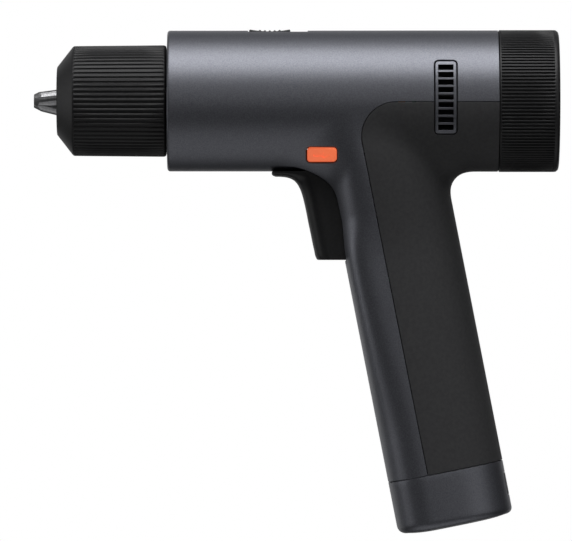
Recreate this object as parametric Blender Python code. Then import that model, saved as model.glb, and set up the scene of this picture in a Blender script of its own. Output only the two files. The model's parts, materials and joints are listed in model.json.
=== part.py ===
"""Compact cordless drill driver, modelled as the separate pieces it comes apart into.

Lengths are written in millimetres and turned into metres when a mesh is made. The design frame has
X along the barrel from the jaw tips (0) to the back of the torque ring, Y across the tool and Z up
from the barrel's axis. Every piece is then moved so that the world origin lies under the middle.
The handle has a frame of its own: "down" is the distance along the slanted handle from the barrel's
axis, and "back" is the distance behind the handle's centre line.
"""

import math

import bmesh
import bpy
from mathutils import Matrix, Vector

MM = 0.001
GAP = 0.3

# Whole tool
TOOL_LENGTH = 193.7
BARREL_RADIUS = 26.0
BARREL_FRONT = 49.3
RING_SEAM = 171.4
WALL = 2.4
COVER_DEPTH = 1.1

# Chuck
SLEEVE_RADIUS = 20.24
NOSE_RADIUS = 12.8
NOSE_FACE = 8.54
CONE_BACK = 14.67
JAW_ANGLES = (30, 150, 270)
JAW_TILT = math.radians(14)
JAW_RADIUS = 3.1
JAW_LENGTH = 27.0

# Handle
HANDLE_TILT = math.radians(11.09)
HANDLE_TOP = Vector((125.2, 0, 0))
HANDLE_DEPTH = 43.0
HANDLE_HALF_WIDTH = 20.5
ROOT_HALF_WIDTH = 24.5
WIDEST_AT = 0.34
EGG_POWER = 2.2
SEAM_DOWN = 139.2
BASE_DOWN = 159.0
BASE_INSET = 3.0
BASE_CROWN = 0.7
TRIGGER_HALF_WIDTH = 9.2

# Gearbox: two planetary stages with the same tooth counts
RING_PITCH_RADIUS = 16.8
SUN_TEETH = 12
PLANET_TEETH = 12
RING_TEETH = 36
MODULE = 2 * RING_PITCH_RADIUS / RING_TEETH
PLANET_ANGLES = (90, 210, 330)
PLANET_ORBIT = MODULE * (SUN_TEETH + PLANET_TEETH) / 2
FAN_BLADES = 11

# Side openings
VENT_MIDDLE = (151.4, 1.4)
VENT_PITCH = 2.76
VENT_SLOTS = 9
SELECTOR_HALF_WIDTH = 4.5

DOWN = Vector((math.sin(HANDLE_TILT), 0, -math.cos(HANDLE_TILT)))
BACK = Vector((math.cos(HANDLE_TILT), 0, math.sin(HANDLE_TILT)))
BASE_TO_AXIS = BASE_DOWN * BACK.x + (HANDLE_DEPTH / 2 - BASE_INSET) * DOWN.x
TO_WORLD = Matrix.Translation((-TOOL_LENGTH / 2, 0, BASE_TO_AXIS))


# ---------------------------------------------------------------- materials


def paint(name, colour, roughness, metallic=0.0):
    """A Principled material with one plain colour."""
    material = bpy.data.materials.new(name)
    material.use_nodes = True
    material.diffuse_color = (*colour, 1)
    shader = material.node_tree.nodes["Principled BSDF"]
    shader.inputs["Base Color"].default_value = (*colour, 1)
    shader.inputs["Roughness"].default_value = roughness
    shader.inputs["Metallic"].default_value = metallic
    return material


def make_palette():
    return {
        "grey": paint("blue_grey_paint", (0.13, 0.14, 0.165), 0.42, 0.5),
        "cover": paint("black_grip", (0.03, 0.03, 0.032), 0.75),
        "black": paint("black_plastic", (0.012, 0.012, 0.014), 0.4),
        "orange": paint("orange_plastic", (0.8, 0.17, 0.06), 0.45),
        "steel": paint("bright_steel", (0.55, 0.55, 0.57), 0.28, 1.0),
        "dark_steel": paint("dark_steel", (0.16, 0.16, 0.17), 0.35, 1.0),
        "brass": paint("brass", (0.6, 0.44, 0.18), 0.35, 1.0),
        "copper": paint("copper", (0.72, 0.3, 0.14), 0.35, 1.0),
        "board": paint("circuit_board", (0.02, 0.12, 0.06), 0.5),
        "lens": paint("clear_lens", (0.75, 0.78, 0.8), 0.1),
        "cell": paint("cell_wrap", (0.05, 0.2, 0.4), 0.45),
        "inner": paint("inner_plastic", (0.06, 0.06, 0.065), 0.55),
    }


# ---------------------------------------------------------------- shape tools


def make_piece(name, mesh_data, material):
    """One object from a closed bmesh in millimetres, with its normals facing out."""
    bmesh.ops.remove_doubles(mesh_data, verts=mesh_data.verts, dist=0.0005)
    bmesh.ops.recalc_face_normals(mesh_data, faces=mesh_data.faces)
    if mesh_data.calc_volume(signed=True) < 0:
        bmesh.ops.reverse_faces(mesh_data, faces=mesh_data.faces)
    mesh = bpy.data.meshes.new(name)
    mesh_data.to_mesh(mesh)
    mesh_data.free()
    mesh.materials.append(material)
    piece = bpy.data.objects.new(name, mesh)
    bpy.context.scene.collection.objects.link(piece)
    return piece


def apply_modifiers(piece):
    """Replaces a piece's mesh by the evaluated one, welded so that the next Boolean starts clean."""
    bpy.context.view_layer.update()
    evaluated = piece.evaluated_get(bpy.context.evaluated_depsgraph_get())
    result = bpy.data.meshes.new_from_object(evaluated)
    mesh_data = bmesh.new()
    mesh_data.from_mesh(result)
    bmesh.ops.remove_doubles(mesh_data, verts=mesh_data.verts, dist=0.002)
    bmesh.ops.dissolve_degenerate(mesh_data, edges=mesh_data.edges, dist=0.002)
    mesh_data.to_mesh(result)
    mesh_data.free()
    material = piece.data.materials[0]
    piece.modifiers.clear()
    piece.data = result
    piece.data.materials.clear()
    piece.data.materials.append(material)
    piece.data.polygons.foreach_set("material_index", [0] * len(piece.data.polygons))


def combine(piece, others, operation):
    """Runs one exact Boolean for each helper in turn, then removes the helper."""
    for other in others:
        step = piece.modifiers.new(operation.title(), "BOOLEAN")
        step.operation = operation
        step.object = other
        apply_modifiers(piece)
        bpy.data.objects.remove(other, do_unlink=True)
    return piece


def cut(piece, *others):
    return combine(piece, others, "DIFFERENCE")


def keep(piece, other):
    return combine(piece, (other,), "INTERSECT")


def join(piece, *others):
    return combine(piece, others, "UNION")


def copy_of(piece, name):
    """A second object with its own mesh."""
    twin = bpy.data.objects.new(name, piece.data.copy())
    bpy.context.scene.collection.objects.link(twin)
    return twin


def loft(name, loops, material):
    """A closed skin through loops that have the same number of points, with flat ends."""
    mesh_data = bmesh.new()
    rings = [[mesh_data.verts.new(point) for point in loop] for loop in loops]
    for ring, following in zip(rings, rings[1:]):
        for index, vert in enumerate(ring):
            after = (index + 1) % len(ring)
            mesh_data.faces.new((vert, ring[after], following[after], following[index]))
    mesh_data.faces.new(rings[0])
    mesh_data.faces.new(rings[-1])
    return make_piece(name, mesh_data, material)


def turned(name, profile, material, segments=32):
    """A turned piece: a closed outline of (x, radius) points spun round the barrel's axis."""
    mesh_data = bmesh.new()
    rings = []
    for x, radius in profile:
        if radius < 0.01:
            rings.append([mesh_data.verts.new((x, 0, 0))] * segments)
        else:
            rings.append([mesh_data.verts.new((x, y, z)) for y, z in circle(radius, segments)])
    for ring, following in zip(rings, rings[1:] + rings[:1]):
        for index in range(segments):
            after = (index + 1) % segments
            corners = (ring[index], ring[after], following[after], following[index])
            unique = list(dict.fromkeys(corners))
            if len(unique) > 2:
                mesh_data.faces.new(unique)
    return make_piece(name, mesh_data, material)


def tube(name, start, end, inner, outer, material, segments=32):
    """A plain ring along the barrel's axis, or a solid rod when the inner radius is 0."""
    return turned(name, ((start, inner), (start, outer), (end, outer), (end, inner)), material, segments)


def side_prism(name, outline, material, half_width=None, low=None, high=None):
    """An (x, z) outline pushed out along Y, to both sides of the middle unless low and high are given."""
    low = -half_width if low is None else low
    high = half_width if high is None else high
    return loft(name, [[(x, y, z) for x, z in outline] for y in (low, high)], material)


def front_prism(name, outline, start, end, material):
    """A (y, z) outline pushed out along X."""
    return loft(name, [[(x, y, z) for y, z in outline] for x in (start, end)], material)


def block(name, low, high, material):
    """A box between two opposite corners."""
    outline = ((low[0], low[2]), (high[0], low[2]), (high[0], high[2]), (low[0], high[2]))
    return side_prism(name, outline, material, low=low[1], high=high[1])


def circle(radius, count, centre=(0, 0), turn=0.0):
    """Points round a circle in the (y, z) plane."""
    angles = (math.tau * index / count + turn for index in range(count))
    return [(centre[0] + radius * math.cos(a), centre[1] + radius * math.sin(a)) for a in angles]


def rod(name, start, end, radius, material, segments=16):
    """A round rod between two points."""
    start, end = Vector(start), Vector(end)
    aim = (end - start).to_track_quat("Z", "Y").to_matrix()
    ring = [aim @ Vector((a, b, 0)) for a, b in circle(radius, segments)]
    return loft(name, [[start + v for v in ring], [end + v for v in ring]], material)


def on_handle(down, back, side=0.0):
    """The design-frame point at a place on the handle."""
    return HANDLE_TOP + DOWN * down + BACK * back + Vector((0, side, 0))


def egg_loop(front, rear, half_width, steps=7):
    """An egg-shaped section between a front and a rear (x, z) point, widest nearer the front."""
    front, rear = Vector((front[0], 0, front[1])), Vector((rear[0], 0, rear[1]))
    places = []
    for index in range(steps * 2 + 1):
        turn = math.pi * index / (steps * 2)
        along = -math.cos(turn)
        reach = WIDEST_AT if along < 0 else 1 - WIDEST_AT
        width = max(0.0, 1 - abs(along) ** EGG_POWER) ** (1 / EGG_POWER)
        places.append((WIDEST_AT + along * reach, width))
    one_side = [front.lerp(rear, a) + Vector((0, -half_width * b, 0)) for a, b in places]
    other_side = [front.lerp(rear, a) + Vector((0, half_width * b, 0)) for a, b in places[-2:0:-1]]
    return one_side + other_side


def handle_loop(down, inset=0.0, steps=7):
    """A section square to the handle, drawn in by an inset all round."""
    front = on_handle(down, inset - HANDLE_DEPTH / 2)
    rear = on_handle(down, HANDLE_DEPTH / 2 - inset)
    return egg_loop((front.x, front.z), (rear.x, rear.z), HANDLE_HALF_WIDTH - inset, steps)


def gear_outline(teeth, phase, centre=(0, 0), slack=0.13, tip=0.85, root=1.2):
    """A straight-sided tooth outline in the (y, z) plane, with one tooth centred on the phase angle."""
    pitch_radius = MODULE * teeth / 2
    pitch = math.tau / teeth
    half = pitch * (0.25 - slack / 4)
    root_radius, tip_radius = pitch_radius - root * MODULE, pitch_radius + tip * MODULE
    corners = (
        (root_radius, -half * 1.55), (tip_radius, -half * 0.5),
        (tip_radius, half * 0.5), (root_radius, half * 1.55),
    )
    outline = []
    for tooth in range(teeth):
        for radius, offset in corners:
            angle = math.radians(phase) + tooth * pitch + offset
            outline.append((centre[0] + radius * math.cos(angle), centre[1] + radius * math.sin(angle)))
    return outline


def planet_phase(place):
    """Tooth angle of a planet at this place round a sun that has a tooth centred on +Y."""
    return place + 180 + 180 / PLANET_TEETH + place * SUN_TEETH / PLANET_TEETH


def ring_phase():
    """Angle of a gap of the ring gear, worked out through the first planet."""
    place = PLANET_ANGLES[0]
    return place + (planet_phase(place) - place) * PLANET_TEETH / RING_TEETH


def planet_centre(place):
    angle = math.radians(place)
    return PLANET_ORBIT * math.cos(angle), PLANET_ORBIT * math.sin(angle)


# ---------------------------------------------------------------- casing


def handle_stations(inset):
    """Front point, rear point and half width at each level of the handle, from inside the barrel down."""
    past_seam = SEAM_DOWN + 4
    seam_front = on_handle(past_seam, -HANDLE_DEPTH / 2)
    seam_rear = on_handle(past_seam, HANDLE_DEPTH / 2)
    levels = (
        ((105.3, -9.5), (160.0, -9.5), 23.9),
        ((107.3, -20.0), (166.5, -24.6), ROOT_HALF_WIDTH),
        ((108.7, -27.0), (159.0, -28.4), 23.9),
        ((109.9, -33.0), (155.4, -33.0), 23.0),
        ((111.3, -40.0), (155.0, -39.5), 22.1),
        ((114.9, -58.8), (158.5, -58.2), HANDLE_HALF_WIDTH),
        ((121.0, -90.0), (164.7, -90.0), HANDLE_HALF_WIDTH),
        ((seam_front.x, seam_front.z), (seam_rear.x, seam_rear.z), HANDLE_HALF_WIDTH),
    )
    loops = []
    for front, rear, half_width in levels:
        across = (Vector(rear) - Vector(front)).normalized() * inset
        front, rear = Vector(front) + across, Vector(rear) - across
        loops.append(egg_loop(front, rear, half_width - inset))
    return loops


def barrel_profile(inset, start, end):
    """The barrel's outline; the outer skin has rounded front corners."""
    radius = BARREL_RADIUS - inset
    if inset:
        return ((start, 0), (start, radius), (end, radius), (end, 0))
    return (
        (start, 0),
        (start, radius - 1.1),
        (start + 0.3, radius - 0.4),
        (start + 1.1, radius),
        (end, radius + 0.1),
        (end, 0),
    )


def casing_solid(name, inset, material, start=BARREL_FRONT, stretch=0.0):
    """The barrel and handle as one solid, drawn in by an inset and longer than the finished casing."""
    barrel = turned(name, barrel_profile(inset, start, RING_SEAM + 6 + stretch), material, 56)
    loops = handle_stations(inset)
    if stretch:
        loops.append([point + DOWN * stretch for point in loops[-1]])
    return join(barrel, loft("handle_helper", loops, material))


def trigger_cheeks(material):
    """The narrow flare in front of the handle that carries the trigger."""
    outline = (
        (97.0, -20.0), (97.4, -25.4), (103.4, -27.3), (108.2, -30.7), (111.5, -35.8), (113.5, -41.4),
        (114.4, -47.2), (114.9, -58.7), (126.0, -58.7), (126.0, -20.0),
    )
    return side_prism("cheeks", outline, material, half_width=12.2)


def cover_outline(margin):
    """The (x, z) outline behind the grip cover's seam, moved back from the seam by a margin."""
    bend = (
        (126.9, -2.9), (123.6, -6.8), (121.9, -12.5), (123.6, -24.0), (127.9, -47.0), (130.7, -60.0),
    )
    foot = on_handle(SEAM_DOWN + 5, -6.2)
    seam = [(RING_SEAM + 9, -0.4), (134.0, -0.4), *bend, (foot.x, foot.z)]
    moved = [(x + margin * (0.2 if z > -1 else 0.95), z - margin * (1 if z > -7 else 0.1)) for x, z in seam]
    return [*moved, (230.0, foot.z), (230.0, moved[0][1])]


def make_casing(palette):
    """Left and right clamshell halves under a one-piece grip cover."""
    grey = palette["grey"]
    # Solids that share a Boolean start and end at different places, so that no two end faces coincide.
    early = BARREL_FRONT - 5
    outer = join(casing_solid("housing", 0.0, grey), trigger_cheeks(grey))
    middle = casing_solid("middle", COVER_DEPTH + GAP, grey, early, 2)
    cover_region = side_prism("cover_region", cover_outline(GAP), grey, half_width=40)
    cover = keep(copy_of(outer, "grip_cover"), cover_region)
    cover = cut(cover, casing_solid("under_cover", COVER_DEPTH, grey, early, 5))
    cover.data.materials[0] = palette["cover"]

    bare_core = keep(middle, side_prism("core_region", cover_outline(-1.5), grey, half_width=40))
    bare_front = cut(outer, side_prism("cover_space", cover_outline(0.0), grey, half_width=40))
    housing = join(bare_front, bare_core)
    inside = casing_solid("inside", WALL + 0.2, grey, early, 9)
    slot_outline = ((80, -59.0), (128, -59.0), (128, -20), (80, -20))
    slot = side_prism("slot", slot_outline, grey, TRIGGER_HALF_WIDTH + 0.4)
    slot = cut(slot, tube("barrel_keep", 70, 140, 0, BARREL_RADIUS + 0.02, grey, 56))
    foot_corners = ((SEAM_DOWN - GAP, -60), (SEAM_DOWN - GAP, 60), (190, 60), (190, -60))
    foot_points = [on_handle(down, back) for down, back in foot_corners]
    below_seam = side_prism("below_seam", [(p.x, p.z) for p in foot_points], grey, half_width=40)
    past_ring = block("past_ring", (RING_SEAM, -40, -40), (230, 40, 40), grey)
    cover = cut(cover, copy_of(below_seam, "below_copy"), copy_of(past_ring, "past_ring_copy"))
    pocket = SELECTOR_HALF_WIDTH + 0.4
    vent_x, vent_z = VENT_MIDDLE
    openings = [
        block("selector_pocket", (79.1, -pocket, 24.9), (101.1, pocket, 30), grey),
        block("selector_hole", (81.0, -3.4, 20), (98.9, 3.4, 30), grey),
    ]
    for side in (-1, 1):
        near, far = sorted((side * 4.0, side * 30.0))
        openings.append(block("button_hole", (101.2, near, -23.0), (112.8, far, -17.0), grey))
        low, high = (vent_x - 4.6, near, vent_z - 13.8), (vent_x + 4.6, far, vent_z + 13.8)
        openings.append(block("vent_hole", low, high, grey))
        low, high = (vent_x - 5.0, near, vent_z - 14.2), (vent_x + 5.0, far, vent_z + 14.2)
        cut(cover, block("vent_notch", low, high, grey))
    housing = cut(housing, inside, slot, below_seam, past_ring, *openings)
    left = cut(housing, block("right_side", (0, -0.1, -200), (240, 40, 60), grey))
    left.name = "housing_left"
    right = copy_of(left, "housing_right")
    right.data.transform(Matrix.Diagonal((1, -1, 1, 1)))
    right.data.flip_normals()


def make_front_ring(palette):
    """The ring that closes the barrel's front, its three screws and the small work light."""
    front, back = BARREL_FRONT + 0.4, 53.2
    black, steel, fixings = palette["black"], palette["steel"], 21.4
    ring = tube("front_ring", front, back, 16.5, BARREL_RADIUS - WALL - 0.6, black, 28)
    for number, angle in enumerate((30, 150, 330), 1):
        spot = circle(fixings, 1, turn=math.radians(angle))[0]
        ring = cut(ring, rod("screw_hole", (front - 1, *spot), (back + 1, *spot), 1.75, black, 12))
        head = rod(f"front_screw_{number}", (front + 0.4, *spot), (back, *spot), 1.45, steel, 12)
        cut(head, rod("socket", (front - 1, *spot), (front + 1.6, *spot), 0.7, steel, 6))
    spot = (0, -fixings)
    ring = cut(ring, rod("light_hole", (front - 1, *spot), (back + 1, *spot), 1.8, black, 16))
    rod("work_light", (front + 0.1, *spot), (back, *spot), 1.5, palette["lens"], 16)


def make_vents(palette):
    """Slotted inserts that follow the barrel's curve on both sides."""
    grey = palette["grey"]
    middle_x, middle_z = VENT_MIDDLE
    for name, side in (("vent_insert_left", -1), ("vent_insert_right", 1)):
        low, high = sorted((side * 10.0, side * 30.0))
        front, back = middle_x - 4.17, middle_x + 4.17
        insert = tube(name, front, back, BARREL_RADIUS - WALL, BARREL_RADIUS + 0.05, grey, 72)
        insert = keep(insert, block("window", (140, low, middle_z - 13.4), (165, high, middle_z + 13.4), grey))
        slots = []
        for number in range(VENT_SLOTS):
            centre = middle_z + (number - (VENT_SLOTS - 1) / 2) * VENT_PITCH
            near, far = (middle_x - 2.75, low, centre - 0.85), (middle_x + 2.75, high, centre + 0.85)
            slots.append(block("slot", near, far, grey))
        cut(insert, *slots)


# ---------------------------------------------------------------- chuck


def jaw_axis(angle, x):
    """The point on one jaw's centre line at this x."""
    radius = x * math.tan(JAW_TILT)
    turn = math.radians(angle)
    return Vector((x, radius * math.cos(turn), radius * math.sin(turn)))


def make_chuck(palette):
    """Three jaws in slanting bores, driven by a nut inside the knurled sleeve."""
    steel, dark = palette["steel"], palette["dark_steel"]
    body = turned("chuck_body", (
        (9.2, 5.2), (9.2, 9.6), (9.8, 10.1), (18.3, 10.1), (18.3, 7.6), (26.8, 7.6), (26.8, 15.5),
        (47.5, 15.5), (47.5, 5.15), (38.0, 5.15), (38.0, 2.2), (35.0, 2.2), (35.0, 5.2),
    ), dark, 32)
    for angle in JAW_ANGLES:
        cut(body, rod("bore", jaw_axis(angle, -5), jaw_axis(angle, 60), JAW_RADIUS + 0.25, dark, 14))

    reach = JAW_LENGTH * math.cos(JAW_TILT)
    for number, angle in enumerate(JAW_ANGLES, 1):
        turn = math.radians(angle)
        jaw = rod(f"chuck_jaw_{number}", jaw_axis(angle, -5), jaw_axis(angle, reach), JAW_RADIUS, steel, 20)
        apex = circle(0.12, 1, turn=turn)[0]
        spread = math.radians(60)
        sides = [circle(40, 1, apex, turn + offset)[0] for offset in (-spread, spread)]
        keep(jaw, front_prism("wedge", (apex, *sides), -10, 60, steel))
        keep(jaw, turned("tip_cone", ((0, 0), (0, 2.45), (3.2, 4.1), (50, 40), (50, 0)), steel, 36))

    nut_front, nut_back = 18.7, 26.5
    slope = math.tan(JAW_TILT)
    clear = JAW_RADIUS / math.cos(JAW_TILT) + 0.3
    turned("chuck_nut", (
        (nut_front, nut_front * slope + clear), (nut_front, 15.6),
        (nut_back, 15.6), (nut_back, nut_back * slope + clear),
    ), palette["brass"], 32)
    sleeve = (
        (NOSE_FACE, 10.5), (NOSE_FACE, NOSE_RADIUS), (CONE_BACK, SLEEVE_RADIUS), (48.6, SLEEVE_RADIUS),
        (49.0, SLEEVE_RADIUS - 0.4), (49.0, 15.9), (18.6, 15.9), (18.6, 10.5),
    )
    turned("chuck_sleeve", sleeve, palette["black"], 40)
    turned("chuck_screw", (
        (32.6, 0), (32.6, 2.6), (33.3, 3.4), (34.9, 3.4), (34.9, 1.9), (50.0, 1.9), (50.0, 0),
    ), dark, 20)


# ---------------------------------------------------------------- gearbox


def make_gear(name, teeth, phase, start, end, centre, hole, material):
    gear = front_prism(name, gear_outline(teeth, phase, centre), start, end, material)
    return cut(gear, rod("hole", (start - 1, *centre), (end + 1, *centre), hole, material, 14))


def make_planets(stage, start, end, palette):
    for number, place in enumerate(PLANET_ANGLES, 1):
        name, phase, centre = f"{stage}_planet_{number}", planet_phase(place), planet_centre(place)
        make_gear(name, PLANET_TEETH, phase, start, end, centre, 2.0, palette["steel"])


def make_ring_gear(name, start, end, outer, material):
    """A toothed ring; its gaps are cut by an oversize gear of the same tooth count."""
    ring = tube(name, start, end, 12.0, outer, material, 32)
    gaps = gear_outline(RING_TEETH, ring_phase(), slack=-0.13, tip=1.2, root=0.8)
    return cut(ring, front_prism("gaps", gaps, start - 1, end + 1, material))


def carrier_pins(start, end, material):
    return [
        rod("pin", (start, *planet_centre(place)), (end, *planet_centre(place)), 1.85, material, 10)
        for place in PLANET_ANGLES
    ]


def make_gearbox(palette):
    """Spindle with the output carrier, two planetary stages and the sliding ring of the speed selector."""
    steel, dark = palette["steel"], palette["dark_steel"]
    spindle = turned("spindle", (
        (38.2, 2.1), (38.2, 5.0), (50.2, 5.0), (50.2, 8.0), (53.3, 8.0), (53.3, 5.95),
        (61.0, 5.95), (61.0, 5.2), (62.4, 5.2), (62.4, 5.95), (63.4, 5.95), (63.4, 14.2),
        (66.4, 14.2), (66.4, 0), (51.5, 0), (51.5, 2.1),
    ), steel, 24)
    join(spindle, *carrier_pins(65.5, 74.6, steel))
    tube("spindle_clip", 61.2, 62.2, 5.5, 7.6, dark, 24)
    tube("spindle_bearing", 54.9, 60.9, 6.0, 11.9, steel, 24)
    case = turned("gear_case", (
        (53.6, 9.5), (53.6, 23.0), (91.9, 23.0), (91.9, 20.3),
        (61.3, 20.3), (61.3, 12.0), (54.7, 12.0), (54.7, 9.5),
    ), palette["inner"], 28)
    cut(case, block("fork_slot", (69.0, -3.2, 15.0), (95.0, 3.2, 30.0), palette["inner"]))

    make_planets("second", 67.4, 74.4, palette)
    make_planets("first", 81.4, 88.4, palette)
    shift = make_ring_gear("shift_ring_gear", 67.6, 74.6, 19.6, dark)
    groove = ((70.1, 18.7), (70.1, 21.0), (72.3, 21.0), (72.3, 18.7))
    cut(shift, turned("groove", groove, dark, 32))
    make_ring_gear("fixed_ring_gear", 81.3, 88.7, 20.1, dark)
    carrier = tube("first_carrier", 77.8, 80.6, 0, 15.2, steel, 36)
    sun = front_prism("sun", gear_outline(SUN_TEETH, 0), 67.6, 78.5, steel)
    join(carrier, sun, *carrier_pins(79.5, 88.6, steel))
    make_gear("motor_pinion", SUN_TEETH, 0, 81.2, 90.6, (0, 0), 2.15, palette["brass"])


def make_selector(palette):
    """The thumb slider on top and the fork that it moves."""
    low, high = 79.5, 94.7
    top, bottom = BARREL_RADIUS + 0.5, 25.2
    places = [step / 8 for step in range(9)]
    saddle = [(low + (high - low) * t, top - 0.8 * (1 - (2 * t - 1) ** 2)) for t in places]
    outline = [(low, bottom), *saddle, (high, bottom)]
    knob = side_prism("speed_selector", outline, palette["black"], half_width=SELECTOR_HALF_WIDTH)
    join(knob, block("stem", (81.6, -2.9, 23.2), (92.6, 2.9, 25.4), palette["black"]))
    arm = block("shift_fork", (70.5, -2.4, 20.6), (71.9, 2.4, 22.85), palette["steel"])
    beam = block("beam", (70.6, -2.4, 21.6), (86.0, 2.4, 22.9), palette["steel"])
    arc = tube("arc", 70.5, 71.9, 19.0, 20.1, palette["steel"], 48)
    keep(arc, block("upper_half", (60, -30, 4), (90, 30, 30), palette["steel"]))
    join(arc, block("foot", (70.5, -2.4, 19.3), (71.9, 2.4, 22.5), palette["steel"]))
    join(arm, arc, beam)


# ---------------------------------------------------------------- motor


def make_motor(palette):
    """Brushless motor with an inner rotor, a fan beside the vents and a sensor board."""
    steel, dark, inner = palette["steel"], palette["dark_steel"], palette["inner"]
    turned("motor_plate", (
        (92.3, 4.0), (92.3, 22.8), (96.4, 22.8), (96.4, 6.9), (93.4, 6.9), (93.4, 4.0),
    ), dark, 28)
    tube("motor_bearing_front", 93.6, 97.4, 2.65, 6.7, steel, 24)
    core = tube("stator_core", 102.0, 134.0, 11.0, 19.0, dark, 36)
    windings = tube("stator_windings", 99.0, 101.7, 12.2, 17.6, palette["copper"], 24)
    rear_turns = tube("rear_turns", 134.3, 137.0, 12.2, 17.6, palette["copper"], 24)
    bars = []
    for number in range(6):
        turn = math.radians(60 * number + 30)
        arm = Vector((math.cos(turn), math.sin(turn)))
        across = Vector((-arm.y, arm.x))
        for name, near, far, half, start, end, group in (
            ("slot", 12.5, 17.3, 2.9, 100.0, 136.0, None), ("mouth", 9.0, 12.8, 0.8, 100.0, 136.0, None),
            ("bar", 12.8, 17.0, 2.6, 101.0, 135.0, bars),
        ):
            corners = ((near, -half), (near, half), (far, half), (far, -half))
            outline = [tuple(arm * r + across * side) for r, side in corners]
            solid = front_prism(name, outline, start, end, palette["copper"])
            if group is None:
                cut(core, solid)
            else:
                group.append(solid)
    join(windings, rear_turns, *bars)
    tube("rotor_magnet", 100.0, 136.5, 2.65, 10.4, dark, 24)
    turned("motor_shaft", (
        (81.0, 0), (81.0, 2.0), (92.0, 2.0), (92.0, 2.5), (161.8, 2.5), (161.8, 0),
    ), steel, 20)
    tube("sensor_board", 139.5, 141.0, 6.0, 18.5, palette["board"], 24)
    fan = tube("fan", 154.8, 156.6, 0.0, 18.3, inner, 32)
    for number in range(FAN_BLADES):
        turn = math.tau * number / FAN_BLADES
        out, across = Vector((math.cos(turn), math.sin(turn))), Vector((-math.sin(turn), math.cos(turn)))
        corners = ((4.0, -0.7), (4.0, 0.7), (17.8, 3.7), (18.0, 2.3))
        outline = [tuple(out * r + across * side) for r, side in corners]
        join(fan, front_prism("blade", outline, 147.5, 155.5, inner))
    join(fan, tube("hub", 147.0, 155.5, 0.0, 5.5, inner, 20))
    cut(fan, rod("hole", (140, 0, 0), (160, 0, 0), 2.65, inner, 20))
    tube("motor_bearing_rear", 158.2, 161.8, 2.65, 6.6, steel, 24)


# ---------------------------------------------------------------- back end


def make_back_end(palette):
    """Fixed hub with the display, and the torque ring that turns on it."""
    inner = palette["inner"]
    turned("rear_hub", (
        (157.8, 6.8), (157.8, 22.9), (167.0, 22.9), (167.0, 21.0), (191.6, 21.0),
        (191.6, 19.0), (162.9, 19.0), (162.9, 4.0), (162.1, 4.0), (162.1, 6.8),
    ), inner, 28)
    tube("display_board", 184.6, 186.2, 0, 18.2, palette["board"], 24)
    tube("display_lens", 189.4, 191.4, 0, 18.7, palette["black"], 28)
    seat, crown = 21.3, BARREL_RADIUS + 0.2
    turned("torque_ring", (
        (RING_SEAM + GAP, seat), (RING_SEAM + GAP, crown), (192.3, crown), (193.3, crown - 0.45),
        (TOOL_LENGTH, crown - 1.5), (TOOL_LENGTH, 20.2), (192.0, 20.2), (192.0, seat),
    ), palette["black"], 40)


# ---------------------------------------------------------------- handle


def make_trigger(palette):
    """The long curved trigger with its tongue, its spring and the switch behind it."""
    black = palette["black"]
    outline = (
        (87.8, -27.0), (89.0, -27.8), (93.0, -28.2), (96.4, -29.5), (98.6, -32.5), (99.4, -35.5),
        (100.5, -41.4), (102.0, -48.1), (103.4, -54.8), (104.6, -58.5), (121.0, -58.5),
        (121.0, -33.0), (112.5, -29.5), (103.5, -24.0), (87.8, -24.0),
    )
    trigger = side_prism("trigger", outline, black, half_width=TRIGGER_HALF_WIDTH)
    rounding = trigger.modifiers.new("Bevel", "BEVEL")
    rounding.width = 2.0
    rounding.segments = 2
    rounding.limit_method = "ANGLE"
    rounding.angle_limit = math.radians(80)
    cut(trigger, tube("barrel_space", 70, 140, 0, BARREL_RADIUS + 0.35, black, 56))
    stem = rod("plunger", (120.0, 0, -40), (130.8, 0, -40), 1.6, black, 12)
    join(trigger, stem)
    switch = block("trigger_switch", (131.5, -8.5, -56), (149.0, 8.5, -33.5), palette["inner"])
    cut(switch, rod("plunger_hole", (130, 0, -40), (139.5, 0, -40), 2.0, palette["inner"], 12))

    turns, steps, coil, wire = 4, 10, 4.0, 0.45
    loops = []
    for index in range(turns * steps + 1):
        turn = math.tau * index / steps
        outward = Vector((0, math.cos(turn), math.sin(turn)))
        centre = Vector((121.9 + 9.1 * index / (turns * steps), 0, -40)) + outward * coil
        loops.append([centre + outward * a + Vector((b, 0, 0)) for a, b in circle(wire, 5)])
    loft("trigger_spring", loops, palette["steel"])


def make_direction_button(palette):
    """A push-through button: a crowned face on each side, joined by a strap that passes under the motor."""
    orange = palette["orange"]
    strap = tube("direction_button", 104.0, 110.0, 20.6, 21.9, orange, 48)
    keep(strap, front_prism("strap_span", ((0, 0), (-17.3, -30), (17.3, -30)), 100, 115, orange))
    for side in (-1, 1):
        head = ((8.0, -22.5), (18.6, -22.5), (20.0, -20.0), (20.7, -17.5), (11.5, -17.5), (8.0, -20.0))
        outline = [(side * y, z) for y, z in head]
        join(strap, front_prism("head", outline, 101.65, 112.35, orange))


def key_block(name, margin, backs, material):
    """The release key's block, or the hole for it when a margin is given."""
    corners = (
        (144.0 - margin, -5 - margin), (152.0 + margin, -5 - margin),
        (152.0 + margin, 5 + margin), (144.0 - margin, 5 + margin),
    )
    loops = [[on_handle(down, back, side) for down, side in corners] for back in backs]
    return loft(name, loops, material)


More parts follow.
